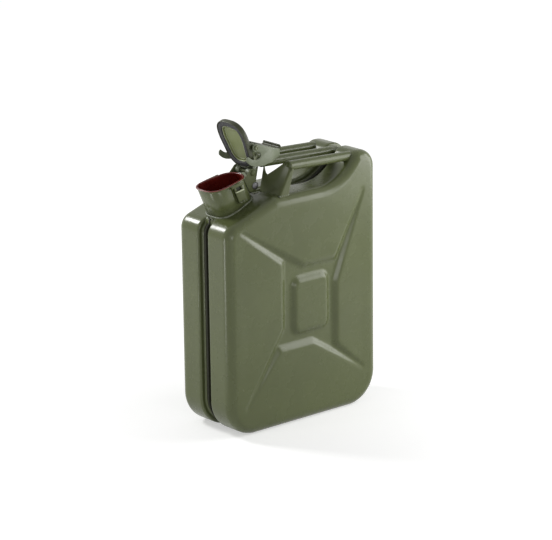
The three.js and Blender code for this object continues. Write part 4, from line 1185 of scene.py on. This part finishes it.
def cap():
    """The dish in painted shade, its seal, and the pan with two beads painted as highlights."""
    bend = arc(CAP_SKIRT_OUT - CAP_BEND_R, CAP_BEND_Z, CAP_BEND_R, 0, 90, steps=8)
    inner_bend = arc(CAP_SKIRT_IN - CAP_INNER_BEND_R, CAP_BEND_Z, CAP_INNER_BEND_R, 90, 0, steps=5)
    dish = CAP_CEILING + inner_bend + CAP_HEM + bend + CAP_CROWN
    piece("cap_dish", mouth_lid(dish, from_cap), SHADED_OLIVE, "cap", ["cap_shell"])
    piece("cap_seal", mouth_loop(SEAL_SECTION, from_cap), RUBBER, "cap", ["cap_gasket"])
    piece("cap_pan", mouth_lid(PAN_SECTION, from_cap), PLATE, "cap", ["cap_inner_plate"])
    beads = [mouth_loop(bead, from_cap) for bead in BEAD_SECTIONS]
    piece("cap_pan_beads", joined(*beads), PAINTED_HIGHLIGHT, "cap", replaces=["cap_inner_plate"])


def lever_rivet(name, side):
    x, z = STUD_AT
    pairs = STUD_SHANK + [(r, STUD_SEAT + rise) for r, rise in STUD_HEAD]
    shape = turned_mesh(pairs, lambda u, v, w: from_cap(x + u, side * w, z + v))
    piece(name + "_lever_rivet_turned", shape, OLIVE, "cap", replaces=[name + "_lever_rivet"])


cap()
rounded_copy("cap_hinge_strap", "cap", SAGE, width=0.6)
for side_name, side_sign in SIDES:
    rounded_copy(side_name + "_cap_ear", "cap", SAGE, width=0.5)
    lever_rivet(side_name, side_sign)


# Cam lever

def lever_low_edge():
    """Height of the side plates' lower edge at the fold."""
    rise = (HEEL_DROP - LEVER_END_DROP - LEVER_END_HEIGHT) / (LEVER_REACH - HEEL_X)
    return -HEEL_DROP + (LEVER_FOLD - HEEL_X) * rise


def lever_side():
    """Outline of one side plate up to the fold: boss, heel and hook."""
    heel, sole = (26, -32.2), (19, -34)
    bottom, flank = polar(HOOK_OUTER, 267), polar(HOOK_INNER + 8.9, 227.5)
    points = [(0, LEVER_BOSS_R), (LEVER_FOLD, -LEVER_FOLD_DROP), (LEVER_FOLD, lever_low_edge()), heel]
    points += bent(heel, (22.5, -33.8), sole, 5)
    points += bent(sole, (11.5, -35.1), bottom, 10)
    points += bent(bottom, polar(HOOK_INNER + 12.3, 247), flank, 12)
    points += bent(flank, polar(HOOK_INNER + 7, 221), polar(HOOK_INNER + 4, 217.5), 4)
    points += bent(points[-1], polar(HOOK_INNER + 1, 216.5), polar(HOOK_INNER, 220.5), 4)
    points += arc(0, 0, HOOK_INNER, 222, 290, steps=20)
    points += bent(points[-1], (13.6, -13.6), (6.8, -8.8), 10)
    return points + arc(0, 0, LEVER_BOSS_R, -70, -270, steps=30)[:-1]


def lever_tail():
    """Outline of one side plate from the fold to its end."""
    run = LEVER_REACH - LEVER_FOLD
    low = -LEVER_END_DROP - LEVER_END_HEIGHT
    return [(-LEVER_LAP, -LEVER_FOLD_DROP), (run - 1.5, -LEVER_END_DROP), (run, -LEVER_END_DROP - 1.5),
            (run, low + 2), (run - 2, low), (-LEVER_LAP, lever_low_edge())]


def lever_web(inward):
    """The top sheet between the side plates, with the finger lip curled up at its end."""
    run = LEVER_REACH - LEVER_FOLD
    fall = (LEVER_END_DROP - LEVER_FOLD_DROP) / run
    path = [(x, -LEVER_FOLD_DROP - fall * (x - LEVER_FOLD))
            for x in np.linspace(LEVER_FOLD - WEB_LAP, WEB_END, num=9)]
    end = path[-1]
    path = np.array(path + [(end[0] + dx, end[1] + dz) for dx, dz in FINGER_LIP])
    along = unit(np.gradient(path, axis=0))
    above = np.c_[-along[:, 1], along[:, 0]]
    half = LEVER_INNER + WEB_LAP - inward * np.clip(path[:, 0] - LEVER_FOLD, 0, run)
    half[-2:] -= LIP_NARROWING
    columns = np.linspace(-1, 1, num=13)
    rings = []
    for (x, z), (nx, nz), width in zip(path, above, half):
        upper = [from_lever(x, c * width, z) for c in columns]
        lower = [from_lever(x - WEB_SHEET * nx, c * width, z - WEB_SHEET * nz) for c in reversed(columns)]
        rings.append(upper + lower)
    return ring_mesh(rings, ends=True)


def lever():
    """Two hooked side plates that draw together behind a fold, and the web between them, coloured with
    painted shade.
    """
    inward = LEVER_TAPER / (LEVER_REACH - LEVER_FOLD)
    plates = []
    for _, side in SIDES:
        plates.append(plate_mesh(lever_side(), LEVER_PLATE, LEVER_EDGE, lambda x, z, d, s=side: from_lever(
            x, s * (LEVER_INNER + d), z)))
        plates.append(plate_mesh(lever_tail(), LEVER_PLATE, LEVER_EDGE, lambda x, z, d, s=side: from_lever(
            LEVER_FOLD + x, s * (LEVER_INNER + d - inward * x), z)))
    piece("closure_lever_sides", joined(*plates), SAGE, "lever", ["closure_lever"])
    piece("closure_lever_web", lever_web(inward), SHADED_OLIVE, "lever", ["closure_lever"])


lever()


# Floor, light and camera

def seen_directly(tree):
    """1 for camera, mirror and glass rays, 0 for the rays that light the object."""
    path = add_node(tree, "LightPath")
    value = path.outputs["Is Camera Ray"]
    for name in ("Is Glossy Ray", "Is Transmission Ray"):
        value = combined("MAXIMUM", value, path.outputs[name])
    return value


def stage():
    """A pale floor that glows more towards the white behind it."""
    corners = [(x * FLOOR_HALF, y * FLOOR_HALF, 0) for x, y in ((-1, -1), (1, -1), (1, 1), (-1, 1))]
    mesh = bpy.data.meshes.new("floor")
    mesh.from_pydata(corners, [], [(0, 1, 2, 3)])
    material, shader, place = new_material("pale_floor")
    tree = material.node_tree
    cloud = noise(place, scale=3.0)
    tone = mixed(cloud, shade(WHITE, FLOOR_GREY), shade(WHITE, FLOOR_GREY + FLOOR_CLOUD))
    away = add_node(tree, "VectorMath", {"operation": "LENGTH"})
    feed(away.inputs[0], place)
    glow = ranged(away.outputs["Value"], *FLOOR_GLOW_SPAN, *FLOOR_GLOW)
    glow = combined("MULTIPLY", seen_directly(tree), glow)
    connect(shader, Base_Color=tone, Roughness=FLOOR_ROUGHNESS, Specular_IOR_Level=0.0,
            Emission_Color=WHITE, Emission_Strength=glow)
    mesh.materials.append(material)
    floor = scene_object("floor", mesh)


def world():
    """White where it is seen, and a dim even light on the object."""
    sky = bpy.data.worlds.new("studio")
    bpy.context.scene.world = sky
    sky.use_nodes = True
    tree = sky.node_tree
    tree.nodes.clear()
    ambient = add_node(tree, "Background", Color=WHITE, Strength=AMBIENT)
    white = add_node(tree, "Background", Color=WHITE, Strength=1.0)
    choice = add_node(tree, "MixShader", Fac=seen_directly(tree))
    feed(choice.inputs[1], ambient.outputs[0])
    feed(choice.inputs[2], white.outputs[0])
    add_node(tree, "OutputWorld", Surface=choice.outputs[0])


def softbox(name, place, aim, width, height, radiance):
    """A rectangular lamp that faces a point."""
    data = bpy.data.lights.new(name, "AREA")
    data.shape = "RECTANGLE"
    data.size = width
    data.size_y = height
    data.energy = radiance * pi * width * height
    obj = scene_object(name, data)
    obj.location = place
    obj.rotation_euler = (Vector(aim) - Vector(place)).to_track_quat("-Z", "Y").to_euler()


def camera():
    """Looks at the target from its distance, turned by azimuth, elevation and roll."""
    data = bpy.data.cameras.new("photo_view")
    data.sensor_width = SENSOR_WIDTH
    data.lens = FOCAL_PIXELS * SENSOR_WIDTH / IMAGE_WIDTH
    data.clip_end = CLIP_END
    obj = scene_object("photo_view", data)
    turn = Matrix.Rotation(AZIMUTH, 4, "Z") @ Matrix.Rotation(pi / 2 - ELEVATION, 4, "X")
    turn = turn @ Matrix.Rotation(ROLL, 4, "Z")
    away = Matrix.Translation((0, 0, DISTANCE * MM))
    obj.matrix_world = Matrix.Translation(Vector(TARGET) * MM) @ turn @ away
    bpy.context.scene.camera = obj


stage()
world()
for lamp_name, lamp in LAMPS.items():
    softbox(lamp_name, *lamp)
camera()
bpy.context.scene.view_settings.view_transform = "Standard"
